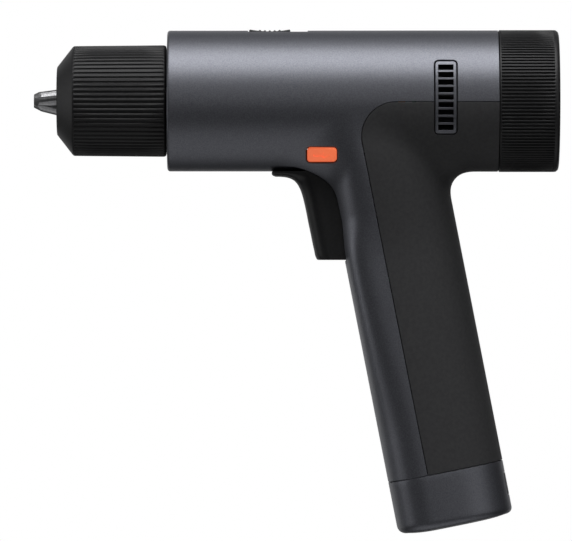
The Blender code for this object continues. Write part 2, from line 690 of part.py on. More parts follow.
def make_battery(palette):
    """The pack that slides into the handle: foot, sleeve, three cells and its contacts."""
    grey, black = palette["grey"], palette["black"]
    foot_loops = [handle_loop(down, inset) for down, inset in (
        (SEAM_DOWN + 0.1, 0.0), (156.6, 0.0), (158.2, 0.9), (BASE_DOWN, BASE_INSET),
        (BASE_DOWN + BASE_CROWN, 9.0),
    )]
    foot = loft("battery_foot", foot_loops, grey)
    board_pocket = loft("pocket", [handle_loop(down, 5.5, 4) for down in (SEAM_DOWN - 5, 153.0)], grey)
    cut(foot, board_pocket)
    sleeve = loft("battery_sleeve", [handle_loop(down, 2.95) for down in (79.0, SEAM_DOWN - 0.3)], black)
    cut(sleeve, loft("sleeve_space", [handle_loop(down, 3.75) for down in (80.6, SEAM_DOWN + 5)], black))
    middle = (WIDEST_AT - 0.5) * HANDLE_DEPTH + 1.0
    places = ((middle, -8.25), (middle, 8.25), (middle + 14.6, 0.0))
    for number, (back, side) in enumerate(places, 1):
        top, bottom = on_handle(84.0, back, side), on_handle(134.0, back, side)
        rod(f"battery_cell_{number}", top, bottom, 8.1, palette["cell"], 24)
    loft("battery_board", [handle_loop(down, 6.2, 4) for down in (135.2, 136.8)], palette["board"])
    contact_back, contact_sides = 10.0, (-6, 0, 6)
    inner = palette["inner"]
    terminals = loft("terminal_block", [handle_loop(down, 3.4, 4) for down in (71.0, 78.6)], inner)
    for side in contact_sides:
        slot = [on_handle(down, contact_back, side) for down in (77, 82)]
        cut(sleeve, rod("contact_slot", *slot, 1.2, black, 8))
        pin = [on_handle(down, contact_back, side) for down in (78.0, 80.2)]
        join(terminals, rod("pin", *pin, 0.8, inner, 8))
    loft("control_board", [handle_loop(down, 3.4, 4) for down in (65.0, 66.6)], palette["board"])
    key = key_block("battery_release", 0.0, (18.0, 30.0), black)
    keep(key, loft("flush_limit", [handle_loop(down, 0.05) for down in (140.0, 156.0)], black))
    cut(foot, key_block("release_hole", 0.3, (15.0, 30.0), grey))


# ---------------------------------------------------------------- placing

# Origins of the moving pieces, in the design frame
PIVOTS = {
    "direction_button": (107.0, 0, -20.0),
    "trigger": (100.5, 0, -41.4),
    "speed_selector": (87.1, 0, BARREL_RADIUS),
}


def pivot_of(name):
    """Where a piece's origin belongs: on its joint's axis, or on the handle's line for the battery."""
    if name in PIVOTS:
        return Vector(PIVOTS[name])
    stage, _, rest = name.partition("_planet_")
    if rest:
        start = 67.4 if stage == "second" else 81.4
        return Vector((start, *planet_centre(PLANET_ANGLES[int(rest) - 1])))
    if name.startswith("battery"):
        return on_handle(SEAM_DOWN, 0)
    if name.startswith("chuck_jaw"):
        return Vector((0, 0, 0))
    return Vector((87.0, 0, 0))


def place_pieces():
    """Scales each mesh to metres, sets its origin and gives round pieces smooth shading."""
    for piece in list(bpy.context.scene.objects):
        pivot = pivot_of(piece.name)
        piece.data.transform(Matrix.Diagonal((MM, MM, MM, 1)) @ Matrix.Translation(-pivot))
        piece.location = (TO_WORLD @ pivot) * MM
        piece.data.shade_smooth()
        piece.data.set_sharp_from_angle(angle=math.radians(32))


def main():
    for leftover in list(bpy.data.objects):
        bpy.data.objects.remove(leftover, do_unlink=True)
    palette = make_palette()
    make_casing(palette)
    make_front_ring(palette)
    make_vents(palette)
    make_chuck(palette)
    make_gearbox(palette)
    make_selector(palette)
    make_motor(palette)
    make_back_end(palette)
    make_trigger(palette)
    make_direction_button(palette)
    make_battery(palette)
    place_pieces()


main()
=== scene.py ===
"""Looks of the cordless drill driver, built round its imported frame.

Shapes are worked out in millimetres in a design frame: X along the barrel from the jaw tips, Y across
the tool and Z up from the barrel's axis. The left side is the one with negative Y, and right-hand
pieces are its mirror image. Every outer skin of the casing follows one smooth surface, which blends
the barrel into the slanted handle; a piece of skin is bounded by edges that lie on that surface.
"""

import json
import math

import bmesh
import bpy
import numpy as np
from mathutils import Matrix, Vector
from mathutils.geometry import delaunay_2d_cdt


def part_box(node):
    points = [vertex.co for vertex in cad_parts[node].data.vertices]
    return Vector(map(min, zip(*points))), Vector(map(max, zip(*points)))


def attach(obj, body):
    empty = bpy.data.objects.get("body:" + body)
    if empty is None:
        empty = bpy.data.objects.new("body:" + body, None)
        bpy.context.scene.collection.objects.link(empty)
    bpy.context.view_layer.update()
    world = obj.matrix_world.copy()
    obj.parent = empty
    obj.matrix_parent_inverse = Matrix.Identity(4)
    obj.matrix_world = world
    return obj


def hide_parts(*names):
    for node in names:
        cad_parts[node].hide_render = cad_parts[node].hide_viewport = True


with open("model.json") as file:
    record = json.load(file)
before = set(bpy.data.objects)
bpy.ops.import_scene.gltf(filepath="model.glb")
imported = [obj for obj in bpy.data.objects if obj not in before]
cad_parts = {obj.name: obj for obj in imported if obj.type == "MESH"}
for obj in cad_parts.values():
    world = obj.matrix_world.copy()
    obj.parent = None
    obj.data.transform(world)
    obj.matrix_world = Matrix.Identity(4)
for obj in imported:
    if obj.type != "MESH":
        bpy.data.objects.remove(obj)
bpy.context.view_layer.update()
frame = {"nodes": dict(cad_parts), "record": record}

MM = 0.001

# Barrel
BARREL_RADIUS = 26.0
BARREL_GROWTH = 0.1
BARREL_FRONT = 49.3
FRONT_ROUNDING = 1.1
RING_SEAM = 171.4
SHELL = 2.6
COVER_THICKNESS = 1.1
SEAM_HALF_GAP = 0.13
PART_LINE = 0.1

# Handle
HANDLE_TILT = math.radians(11.09)
HANDLE_TOP = 125.2
HANDLE_HALF_DEPTH = 21.5
HANDLE_HALF_WIDTH = 20.5
ROOT_EXTRA_WIDTH = 4.0
WIDEST_BACK = -6.88
EGG_POWER = 2.2
BLUNT_FRONT = 1.4
SEAM_DOWN = 139.2
FOOT_LEVEL = SEAM_DOWN - 0.12
FOOT_SEAM_BACK = -6.9
BASE_DOWN = 158.94

# Fillet where the handle meets the barrel
FILLET_FRONT = 20
FILLET_MIDDLE = 4
FILLET_BACK = 11
LEAST_FILLET = 2

# Openings of the casing: middle x, middle z, half length, half height, corner radius
VENT_HOLE = (151.7, 0.9, 4.3, 13.75, 1.55)
VENT_INSERT = (151.7, 0.9, 3.92, 13.37, 1.2)
BUTTON_HOLE = (106.2, -20.15, 5.8, 3.0, 1.5)
BUTTON = (106.2, -20.15, 5.35, 2.55, 1.15)
BUTTON_CROWN = 0.35
ARROW_DEPTH = 0.14
VENT_SLOTS = 9
VENT_PITCH = 2.76
VENT_SLOT_HALF = (2.8, 1.0)
SLOT_HALF_WIDTH = 9.6
SLOT_FRONT = 89.5
SLOT_BOTTOM = -59.0
POCKET_HALF_WIDTH = 4.9
POCKET = (79.1, 101.1)

SINE, COSINE = math.sin(HANDLE_TILT), math.cos(HANDLE_TILT)
DOWN = np.array((SINE, 0.0, -COSINE))
BACK = np.array((COSINE, 0.0, SINE))
ACROSS = np.array((0.0, 1.0, 0.0))

ring_low, ring_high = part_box("torque_ring")
ORIGIN = np.array((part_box("chuck_jaw_1")[0].x, 0.0, (ring_low.z + ring_high.z) / 2))


# ---------------------------------------------------------------- the casing's surface


def smooth_step(low, high, value):
    t = np.clip((value - low) / (high - low), 0.0, 1.0)
    return t * t * (3 - 2 * t)


def blend(first, last, low, high, value):
    """From first to last while the value goes from low to high."""
    return first + (last - first) * smooth_step(low, high, value)


def barrel_radius(x):
    return blend(BARREL_RADIUS, BARREL_RADIUS + BARREL_GROWTH, 60, 170, x)


def barrel_distance(points):
    return np.hypot(points[:, 1], points[:, 2]) - barrel_radius(points[:, 0])


def handle_distance(points):
    """Distance outside the egg-shaped handle, which widens towards the barrel."""
    x, y, z = points.T
    down = (x - HANDLE_TOP) * SINE - z * COSINE
    back = (x - HANDLE_TOP) * COSINE + z * SINE - WIDEST_BACK
    front_reach = HANDLE_HALF_DEPTH + WIDEST_BACK
    reach = np.where(back < 0, front_reach, HANDLE_HALF_DEPTH - WIDEST_BACK)
    half_width = HANDLE_HALF_WIDTH + blend(ROOT_EXTRA_WIDTH, 0, 15, 60, down)
    blunt = blend(0, BLUNT_FRONT, 40, 58, down) * blend(1, 0, 60, 125, down)
    power = EGG_POWER + np.where(back < 0, blunt, 0.0)
    depth_share, width_share = np.abs(back) / reach, np.abs(y) / half_width
    level = (depth_share**power + width_share**power) ** (1 / power)
    level = np.maximum(level, 0.25)
    slope = np.hypot(depth_share ** (power - 1) / reach, width_share ** (power - 1) / half_width)
    return (level - 1) / (level ** (1 - power) * np.maximum(slope, 1e-4))


def skin(points):
    """Negative inside the casing, zero on its surface, with a fillet between barrel and handle."""
    barrel, handle = barrel_distance(points), handle_distance(points)
    x, z = points[:, 0], points[:, 2]
    # The handle ends inside the barrel, so it doesn't show on top
    handle = np.maximum(handle, -20) + blend(0, 50, -4, 7, z)
    fillet = blend(FILLET_FRONT, FILLET_MIDDLE, 98, 127, x)
    fillet = fillet + blend(0, FILLET_BACK - FILLET_MIDDLE, 144, 156, x)
    fillet = blend(LEAST_FILLET, fillet, 2, 30, -z)
    share = np.clip(0.5 + 0.5 * (handle - barrel) / fillet, 0, 1)
    return handle * (1 - share) + barrel * share - fillet * share * (1 - share)


def slope(points):
    """Gradient of the skin function."""
    step = 1e-3
    sides = []
    for axis in range(3):
        shift = np.zeros(3)
        shift[axis] = step
        sides.append((skin(points + shift) - skin(points - shift)) / (2 * step))
    return np.stack(sides, axis=1)


def normal_at(points):
    found = slope(points)
    return found / np.linalg.norm(found, axis=1, keepdims=True)


def onto_skin(points, fixed=None, rounds=12):
    """Moves points onto the surface; with a fixed direction they stay in the plane square to it."""
    points = np.array(points, float)
    for _ in range(rounds):
        pull = slope(points)
        if fixed is not None:
            pull = pull - np.outer(pull @ fixed, fixed)
        size = np.maximum((pull * pull).sum(axis=1), 1e-6)
        points = points - pull * np.clip(skin(points) / size, -3, 3)[:, None]
    return points


def left_side(outline):
    """Points of the left surface at these (x, z) places."""
    outline = np.array(outline, float)
    low, high = np.zeros(len(outline)), np.full(len(outline), BARREL_RADIUS + 2)
    for _ in range(40):
        middle = (low + high) / 2
        inside = skin(np.column_stack((outline[:, 0], -middle, outline[:, 1]))) < 0
        low, high = np.where(inside, middle, low), np.where(inside, high, middle)
    return np.column_stack((outline[:, 0], -low, outline[:, 1]))


# ---------------------------------------------------------------- curves


def dense(points, step=0.25):
    """The same polyline with more points on it."""
    points = np.array(points, float)
    result = [points[:1]]
    for start, end in zip(points, points[1:]):
        count = max(1, math.ceil(np.linalg.norm(end - start) / step))
        result.append(start + (end - start) * (np.arange(1, count + 1) / count)[:, None])
    return np.concatenate(result)


def spaced(points, step, finer_ends=()):
    """A polyline resampled at even arc length, with extra points near its ends."""
    points = np.array(points, float)
    along = np.concatenate(((0.0,), np.cumsum(np.linalg.norm(np.diff(points, axis=0), axis=1))))
    length = along[-1]
    places = list(np.linspace(0, length, max(2, round(length / step) + 1)))
    for offset in finer_ends:
        if offset < length / 3:
            places += [offset, length - offset]
    places = np.array(sorted(places))
    places = places[np.concatenate(((True,), np.diff(places) > 0.04))]
    places[-1] = length
    return np.column_stack([np.interp(places, along, points[:, axis]) for axis in range(points.shape[1])])


def rounded_rectangle(middle_x, middle_z, half_length, half_height, radius, steps=6):
    """Corner-rounded outline in the side view, counter-clockwise."""
    outline = []
    for sign_x, sign_z, start in ((1, -1, -90), (1, 1, 0), (-1, 1, 90), (-1, -1, 180)):
        for index in range(steps + 1):
            turn = math.radians(start + 90 * index / steps)
            outline.append((
                middle_x + sign_x * (half_length - radius) + radius * math.cos(turn),
                middle_z + sign_z * (half_height - radius) + radius * math.sin(turn),
            ))
    return np.array(outline)


def on_handle(down, back, side=0.0):
    return np.array((HANDLE_TOP, 0, 0)) + DOWN * down + BACK * back + ACROSS * side


def egg_arc(down, start, end, count=160):
    """Surface points at one level of the handle; 0 degrees is the front and 180 the back."""
    points = []
    for turn in np.radians(np.linspace(start, end, count)):
        cosine = math.cos(turn)
        reach = HANDLE_HALF_DEPTH + (WIDEST_BACK if cosine > 0 else -WIDEST_BACK)
        forward = reach * math.copysign(abs(cosine) ** (2 / EGG_POWER), cosine)
        side = HANDLE_HALF_WIDTH * abs(math.sin(turn)) ** (2 / EGG_POWER)
        points.append(on_handle(down, WIDEST_BACK - forward, -side))
    return onto_skin(points, DOWN)


def barrel_arc(x, start, end, count=120):
    """Points on the left of the barrel at one x; -90 is the bottom and 90 the top."""
    turns = np.radians(np.linspace(start, end, count))
    radius = float(barrel_radius(x))
    return np.column_stack((np.full(count, x), -radius * np.cos(turns), radius * np.sin(turns)))


END_OFFSETS = (0.15, 0.4, 0.8)


class Edge:
    """Part of a skin's outline, with the radius of the rounding along it."""

    def __init__(self, points, radius=0.0, step=1.3, finer_ends=END_OFFSETS, open_to_mirror=False):
        self.points = spaced(points, step, finer_ends)
        self.open_to_mirror = open_to_mirror
        self.radius = np.broadcast_to(np.asarray(radius, float), (len(self.points),)).copy()


# ---------------------------------------------------------------- pieces of skin

ROUNDING_ROWS = [1 - math.sin(math.radians(angle)) for angle in (90, 66, 44, 22, 0)]
LEAST_ROW_WIDTH = 0.15
LEAST_SEED_GAP = 0.85
LEAST_RIM_GAP = 0.75
NO_SEEDS = np.empty((0, 3))


def unroll(points, normals):
    """A flat picture of the left surface in which areas near the silhouette keep some width.

    The flare under the barrel is spread less, so that the picture doesn't fold over itself.
    """
    flat = normals[:, (0, 2)]
    size = np.linalg.norm(flat, axis=1)
    turn = np.arcsin(np.clip(size, 0, 1))
    x, y, z = points.T
    flare = smooth_step(84, 96, x) * blend(1, 0, 158, 168, x)
    flare = flare * smooth_step(-62, -46, z) * blend(1, 0, -8, 2, z)
    spread = 8 - flare * blend(5, 6.8, 3, 8, np.abs(y))
    return points[:, (0, 2)] + flat * (spread * turn / np.maximum(size, 1e-9))[:, None]


def inside_loop(places, loop):
    """Which flat places lie inside a closed loop."""
    x, y = places[:, 0], places[:, 1]
    found = np.zeros(len(places), bool)
    for (x1, y1), (x2, y2) in zip(loop, np.roll(loop, -1, axis=0)):
        crosses = (y1 > y) != (y2 > y)
        with np.errstate(divide="ignore", invalid="ignore"):
            found ^= crosses & (x < (x2 - x1) * (y - y1) / (y2 - y1) + x1)
    return found


def inside_rims(places, rims):
    """Which flat places lie inside the first loop and outside the others, which are holes."""
    found = inside_loop(places, rims[0])
    for hole in rims[1:]:
        found &= ~inside_loop(places, hole)
    return found


def nearest(points, targets):
    """Distance from each point to the nearest target, and that target's number."""
    distances, numbers = [], []
    for start in range(0, len(points), 500):
        gaps = np.linalg.norm(points[start:start + 500, None] - targets[None], axis=2)
        numbers.append(gaps.argmin(axis=1))
        distances.append(gaps.min(axis=1))
    return np.concatenate(distances), np.concatenate(numbers)


def thinned(points, least):
    """The points that are left when none may be nearer than this to one that came before."""
    kept, cells = [], {}
    for number, point in enumerate(points):
        cell = tuple(np.floor(point / least).astype(int))
        near = [
            other
            for i in (-1, 0, 1) for j in (-1, 0, 1) for k in (-1, 0, 1)
            for other in cells.get((cell[0] + i, cell[1] + j, cell[2] + k), ())
        ]
        if all(np.linalg.norm(points[other] - point) >= least for other in near):
            cells.setdefault(cell, []).append(number)
            kept.append(number)
    return points[kept]


def surface_seeds(step=2.1):
    """Evenly spread points on the left surface of the casing."""
    seeds = []
    for x in np.arange(BARREL_FRONT + 1.4, RING_SEAM, step):
        seeds.append(barrel_arc(x, -87.5, 87.5, 38))
    for down in np.arange(20, SEAM_DOWN - 0.5, step):
        seeds.append(egg_arc(down, 3, 177, 56))
    flare = left_side([(x, z) for x in np.arange(94, 128, 1.0) for z in np.arange(-44, -8, 1.0)])
    seeds.insert(0, flare[np.abs(skin(flare)) < 1e-3])
    seeds = np.concatenate(seeds)
    near = np.abs(skin(seeds)) < 5.5
    seeds = onto_skin(seeds[near])
    settled = (np.abs(skin(seeds)) < 1e-4) & (seeds[:, 1] < -0.5)
    return thinned(seeds[settled], LEAST_SEED_GAP)


class Patch:
    """A closed shell over part of the surface: rounded edges, side walls and an inner skin."""

    def __init__(self, loops, seeds, depth, lift=None, straight=None):
        self.points, self.rows = [], []
        count = 0
        wall_sides = []
        for loop in loops:
            place, radii_before, radii_after = self.join_edges(loop)
            normal = normal_at(place)
            before = place - np.roll(place, 1, axis=0)
            after = np.roll(place, -1, axis=0) - place
            in_before, in_after = self.inward(normal, before), self.inward(normal, after)
            widths = [np.maximum(r, LEAST_ROW_WIDTH) for r in (radii_before, radii_after)]
            mitre = self.mitre(in_before, in_after, *widths)
            open_after = np.concatenate([
                np.full(len(edge.points) - 1, edge.open_to_mirror) for edge in loop
            ])
            wall_sides.append((*self.wall_sides(in_before, in_after), open_after))
            loop_rows = []
            for share in ROUNDING_ROWS:
                row = place if share == 0 else onto_skin(place + mitre * share, rounds=3)
                self.points.append(row)
                loop_rows.append(np.arange(count, count + len(row)))
                count += len(row)
            self.rows.append(loop_rows)

        rims = [self.points[len(ROUNDING_ROWS) * (i + 1) - 1] for i in range(len(loops))]
        flat_rims = [unroll(rim, normal_at(rim)) for rim in rims]
        seeds = self.inner_seeds(seeds, rims, flat_rims)
        self.points.append(seeds)
        self.base = np.concatenate(self.points)
        self.base_normals = normal_at(self.base)
        rim_numbers = [rows[-1] for rows in self.rows]
        seed_numbers = np.arange(count, count + len(seeds))
        self.faces = self.fill(self.base, rim_numbers, seed_numbers, flat_rims)
        for rows in self.rows:
            for outer, inner in zip(rows, rows[1:]):
                self.faces += list(zip(outer, np.roll(outer, -1), np.roll(inner, -1), inner))
        inward = -self.base_normals
        if straight is not None:
            share = straight(self.base)[:, None]
            inward = inward * (1 - share) + ACROSS * share
        self.close(self.round_edges(loops), wall_sides, inward * depth, lift)

    @staticmethod
    def join_edges(loop):
        """The loop's nodes, and the rounding radius before and after each."""
        place = np.concatenate([edge.points[:-1] for edge in loop])
        after = np.concatenate([edge.radius[:-1] for edge in loop])
        before = np.concatenate([
            np.concatenate(((previous.radius[-1],), edge.radius[1:-1]))
            for previous, edge in zip([loop[-1], *loop[:-1]], loop)
        ])
        return place, before, after

    @staticmethod
    def inward(normal, direction):
        side = np.cross(normal, direction)
        return side / np.maximum(np.linalg.norm(side, axis=1, keepdims=True), 1e-9)

    @staticmethod
    def mitre(first, second, first_width, second_width):
        """The step that is at the right distance from both edges that meet at a node."""
        cosine = np.clip((first * second).sum(axis=1), -0.75, 1)
        square = np.maximum(1 - cosine**2, 1e-9)
        a = (first_width - cosine * second_width) / square
        b = (second_width - cosine * first_width) / square
        straight = cosine > 0.985
        a = np.where(straight, first_width / 2, a)
        b = np.where(straight, second_width / 2, b)
        return first * a[:, None] + second * b[:, None]

    @staticmethod
    def inner_seeds(seeds, rims, flat_rims):
        """The seeds that lie well inside the innermost rows."""
        seeds = seeds[inside_rims(unroll(seeds, normal_at(seeds)), flat_rims)]
        if not len(seeds):
            return seeds
        gap, _ = nearest(seeds, np.concatenate(rims))
        return seeds[gap > LEAST_RIM_GAP]

    @staticmethod
    def fill(base, rim_numbers, seed_numbers, flat_rims):
        """Triangles between the innermost rows and the seeds."""
        numbers = np.concatenate([*rim_numbers, seed_numbers])
        flat = unroll(base[numbers], normal_at(base[numbers]))
        edges, start = [], 0
        for rim in rim_numbers:
            edges += [(start + i, start + (i + 1) % len(rim)) for i in range(len(rim))]
            start += len(rim)
        middle = flat.mean(axis=0)
        verts, _, faces, origins, _, _ = delaunay_2d_cdt(
            [Vector(place) for place in flat - middle], edges, [], 0, 1e-6,
        )
        verts = np.array([tuple(v) for v in verts]) + middle
        faces = np.array([tuple(face) for face in faces])
        faces = faces[inside_rims(verts[faces].mean(axis=1), flat_rims)]
        first = [origin[0] if origin else -1 for origin in origins]
        result = []
        for face in faces:
            a, b, c = verts[face]
            corners = [first[i] for i in face]
            if -1 in corners:
                continue
            turned = (b[0] - a[0]) * (c[1] - a[1]) - (b[1] - a[1]) * (c[0] - a[0])
            corners = corners if turned > 0 else corners[::-1]
            result.append(tuple(numbers[i] for i in corners))
        return result

    @staticmethod
    def wall_sides(in_before, in_after):
        """Directions out of the wall before and after each node, the same where the outline is smooth."""
        middle = in_before + in_after
        middle /= np.maximum(np.linalg.norm(middle, axis=1, keepdims=True), 1e-9)
        smooth = ((in_before * in_after).sum(axis=1) > 0.8)[:, None]
        return -np.where(smooth, middle, in_before), -np.where(smooth, middle, in_after)

    def round_edges(self, loops):
        """How far each point sinks at the rounded edges, and the normals there."""
        sunk = np.zeros(len(self.base))
        normals = self.base_normals.copy()
        for edge in (edge for loop in loops for edge in loop):
            reach = edge.radius.max()
            if reach < 0.01 or edge.open_to_mirror:
                continue
            low, high = edge.points.min(axis=0) - reach, edge.points.max(axis=0) + reach
            near = np.flatnonzero(((self.base >= low) & (self.base <= high)).all(axis=1))
            tangent = np.gradient(edge.points, axis=0)
            ends = np.zeros((len(edge.points), 3))
            if np.allclose(edge.points[0], edge.points[-1]):
                tangent[[0, -1]] = edge.points[1] - edge.points[-2]
            else:
                ends[0], ends[-1] = -tangent[0], tangent[-1]
            side = self.inward(normal_at(edge.points), tangent)
            gap, node = nearest(self.base[near], edge.points)
            away = self.base[near] - edge.points[node]
            across = np.abs((away * side[node]).sum(axis=1))
            beyond = (away * ends[node]).sum(axis=1) > 1e-4
            across = np.where(beyond, gap, across)
            radius = edge.radius[node]
            rest = np.clip(radius - across, 0, None)
            drop = radius - np.sqrt(np.maximum(radius**2 - rest**2, 0))
            deeper = drop > sunk[near] + 1e-9
            chosen = near[deeper]
            sunk[chosen] = drop[deeper]
            sine = (rest / np.maximum(radius, 1e-9))[deeper, None]
            cosine = np.sqrt(np.maximum(1 - sine**2, 0))
            normals[chosen] = self.base_normals[chosen] * cosine - side[node][deeper] * sine
        return sunk, normals

    def close(self, rounding, wall_sides, inward, lift):
        """Adds the side walls and the inner skin."""
        sunk, normals = rounding
        outer = self.base - self.base_normals * sunk[:, None]
        if lift is not None:
            outer = outer + self.base_normals * lift(self.base)[:, None]
        total = len(outer)
        faces = list(self.faces)
        corner_normals = [[normals[i] for i in face] for face in faces]
        for face in self.faces:
            faces.append(tuple(i + total for i in reversed(face)))
            corner_normals.append([-self.base_normals[i] for i in reversed(face)])
        for rows, (side_before, side_after, open_after) in zip(self.rows, wall_sides):
            own = rows[0]
            for i, number in enumerate(own):
                if open_after[i]:
                    continue
                k = (i + 1) % len(own)
                faces.append((own[k], number, number + total, own[k] + total))
                corner_normals.append([side_before[k], side_after[i], side_after[i], side_before[k]])
        self.shape = np.concatenate((outer, self.base + inward)), faces, corner_normals


# ---------------------------------------------------------------- making objects


def linked(mesh):
    piece = bpy.data.objects.new(mesh.name, mesh)
    bpy.context.scene.collection.objects.link(piece)
    return piece


def new_object(mesh, body, slot, *replaced):
    """A visible piece that rides on a body and stands in for these CAD nodes."""
    piece = linked(mesh)
    mesh.materials.append(FINISHES[slot])
    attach(piece, body)
    if replaced:
        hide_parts(*replaced)
    return piece


def on_both_sides(name, shape, body, slot, replaced):
    """A left-hand shape and its mirror image; the names have a place for the side."""
    for side, half in (("left", shape), ("right", mirrored(*shape))):
        new_object(mesh_from(name.format(side), *half), body, slot, replaced.format(side))


def solid_mesh(name, shape, sharp=None):
    """The mesh of a closed (points, faces) shape, with its faces turned outwards."""
    mesh = mesh_from(name, *shape, sharp=sharp)
    work = bmesh.new()
    work.from_mesh(mesh)
    bmesh.ops.recalc_face_normals(work, faces=work.faces)
    work.to_mesh(mesh)
    work.free()
    return mesh


def combine(piece, operation, shape, sharp=None):
    """Applies a Boolean with a (points, faces) shape."""
    other = linked(solid_mesh("tool", shape))
    modifier = piece.modifiers.new("combine", "BOOLEAN")
    modifier.operation, modifier.solver, modifier.object = operation, "EXACT", other
    graph = bpy.context.evaluated_depsgraph_get()
    piece.data = bpy.data.meshes.new_from_object(piece.evaluated_get(graph))
    piece.modifiers.clear()
    bpy.data.objects.remove(other)
    if sharp is not None:
        piece.data.set_sharp_from_angle(angle=math.radians(sharp))


def mesh_from(name, points, faces, corner_normals=None, sharp=None):
    """A mesh from design-frame millimetres, with smooth shading."""
    mesh = bpy.data.meshes.new(name)
    faces = [tuple(int(i) for i in face) for face in faces]
    mesh.from_pydata((points * MM + ORIGIN).tolist(), [], faces)
    mesh.shade_smooth()
    if corner_normals is not None:
        mesh.normals_split_custom_set([tuple(n) for face in corner_normals for n in face])
    if sharp is not None:
        mesh.set_sharp_from_angle(angle=math.radians(sharp))
    return mesh


def mirrored(points, faces, corner_normals):
    flip = np.array((1.0, -1.0, 1.0))
    turned = [tuple(reversed(face)) for face in faces]
    return points * flip, turned, [[normal * flip for normal in reversed(face)] for face in corner_normals]


def joined_to_mirror(points, faces, corner_normals):
    """A left half and its mirror image as one surface, sharing the points in the middle plane."""
    points = points.copy()
    middle = np.abs(points[:, 1]) < 1e-5
    points[middle, 1] = 0
    other_points, other_faces, other_normals = mirrored(points, faces, corner_normals)
    total = len(points)
    partner = np.where(middle, np.arange(total), np.arange(total) + total)
    all_points = np.concatenate((points, other_points))
    all_faces = list(faces) + [tuple(partner[i] for i in face) for face in other_faces]
    used, numbers = np.unique([i for face in all_faces for i in face], return_inverse=True)
    starts = np.cumsum([0] + [len(face) for face in all_faces])
    all_faces = [tuple(numbers[a:b]) for a, b in zip(starts, starts[1:])]
    return all_points[used], all_faces, list(corner_normals) + list(other_normals)


# ---------------------------------------------------------------- finishes


def finish(name, colour, other, roughness, metallic=0.0, patch=900, grain=9000, bump=0.1, coat=0.0,
           painted_glow=None, shine=0.5):
    """A moulded or painted surface: two close colours in soft patches, fine grain and uneven gloss."""
    material = bpy.data.materials.new(name)
    material.use_nodes = True
    nodes, links = material.node_tree.nodes, material.node_tree.links
    shader = nodes["Principled BSDF"]
    shader.inputs["Metallic"].default_value = metallic
    shader.inputs["Coat Weight"].default_value = coat
    shader.inputs["Coat Roughness"].default_value = 0.25
    shader.inputs["Specular IOR Level"].default_value = shine
    # An emission makes the part glow though it is no lamp: this is painted light
    if painted_glow:
        shader.inputs["Emission Color"].default_value = (*painted_glow[:3], 1)
        shader.inputs["Emission Strength"].default_value = painted_glow[3]
    place = nodes.new("ShaderNodeTexCoord")
    patches, fine = nodes.new("ShaderNodeTexNoise"), nodes.new("ShaderNodeTexNoise")
    for noise, scale, detail in ((patches, patch, 3.0), (fine, grain, 2.0)):
        noise.inputs["Scale"].default_value = scale
        noise.inputs["Detail"].default_value = detail
        links.new(place.outputs["Object"], noise.inputs["Vector"])
    tone = nodes.new("ShaderNodeValToRGB")
    for stop, position, shade in zip(tone.color_ramp.elements, (0.35, 0.65), (colour, other)):
        stop.position = position
        stop.color = (*shade, 1)
    links.new(patches.outputs["Fac"], tone.inputs["Fac"])
    links.new(tone.outputs["Color"], shader.inputs["Base Color"])
    gloss = nodes.new("ShaderNodeMapRange")
    low, high = roughness - 0.04, roughness + 0.04
    for socket, value in (("From Min", 0.3), ("From Max", 0.7), ("To Min", low), ("To Max", high)):
        gloss.inputs[socket].default_value = value
    links.new(fine.outputs["Fac"], gloss.inputs["Value"])
    links.new(gloss.outputs["Result"], shader.inputs["Roughness"])
    relief = nodes.new("ShaderNodeBump")
    relief.inputs["Strength"].default_value = bump
    relief.inputs["Distance"].default_value = 0.00005
    links.new(fine.outputs["Fac"], relief.inputs["Height"])
    links.new(relief.outputs["Normal"], shader.inputs["Normal"])
    return material


# Colour, second colour, roughness, and what differs from a plain moulded surface, by material slot
FINISH_ROWS = {
    "grey_paint": ((0.128, 0.132, 0.152), (0.178, 0.183, 0.205), 0.46, 0.8, 2600, 12000, 0.25, 0.05),
    "grip": ((0.032, 0.032, 0.034), (0.04, 0.04, 0.042), 0.7, 0, 800, 5000, 0.5),
    "black_plastic": ((0.010, 0.010, 0.011), (0.014, 0.014, 0.015), 0.5, 0, 900, 9000, 0.2, 0, None, 0.38),
    # The orange plastic gets a faint emission: painted light that makes the button brighter than the lamps
    # alone would
    "orange_plastic": (
        (0.95, 0.2, 0.06), (0.98, 0.24, 0.08), 0.42, 0, 900, 9000, 0.12, 0, (1.0, 0.18, 0.075, 0.56),
    ),
    "bright_steel": ((0.34, 0.34, 0.35), (0.46, 0.46, 0.47), 0.4, 1.0, 1500, 14000, 0.15),
    "dark_steel": ((0.13, 0.13, 0.135), (0.17, 0.17, 0.175), 0.38, 1.0, 1500, 9000, 0.2),
    "brass": ((0.55, 0.4, 0.16), (0.62, 0.46, 0.2), 0.34, 1.0, 1200, 9000, 0.15),
    "copper": ((0.66, 0.27, 0.12), (0.75, 0.33, 0.16), 0.36, 1.0, 2500, 9000, 0.25),
    "circuit_board": ((0.015, 0.1, 0.05), (0.025, 0.14, 0.07), 0.45, 0, 700, 6000, 0.2),
    "clear_lens": ((0.75, 0.78, 0.8), (0.82, 0.85, 0.87), 0.12, 0, 900, 5000, 0.05, 0.5),
    "dark_lens": ((0.01, 0.01, 0.012), (0.014, 0.014, 0.018), 0.1, 0, 900, 5000, 0.03, 0.6),
    "cell_wrap": ((0.04, 0.17, 0.36), (0.06, 0.22, 0.42), 0.4, 0, 500, 5000, 0.15),
    "inner_plastic": ((0.05, 0.05, 0.055), (0.065, 0.065, 0.07), 0.55, 0, 600, 4000, 0.3),
}
FINISHES = {slot: finish(slot, *row) for slot, row in FINISH_ROWS.items()}


def finish_cad_nodes():
    """Gives each CAD node that is still shown its slot's finish."""
    slots = {row["node"]: row["material_slot"] for row in frame["record"]["subparts"]}
    for name, node in frame["nodes"].items():
        node.data.materials.clear()
        node.data.materials.append(FINISHES[slots[name]])


# ---------------------------------------------------------------- casing


def silhouette(points):
    """A curve of the surface in the middle plane."""
    return onto_skin(dense([(x, 0, z) for x, z in points], 0.5), ACROSS)


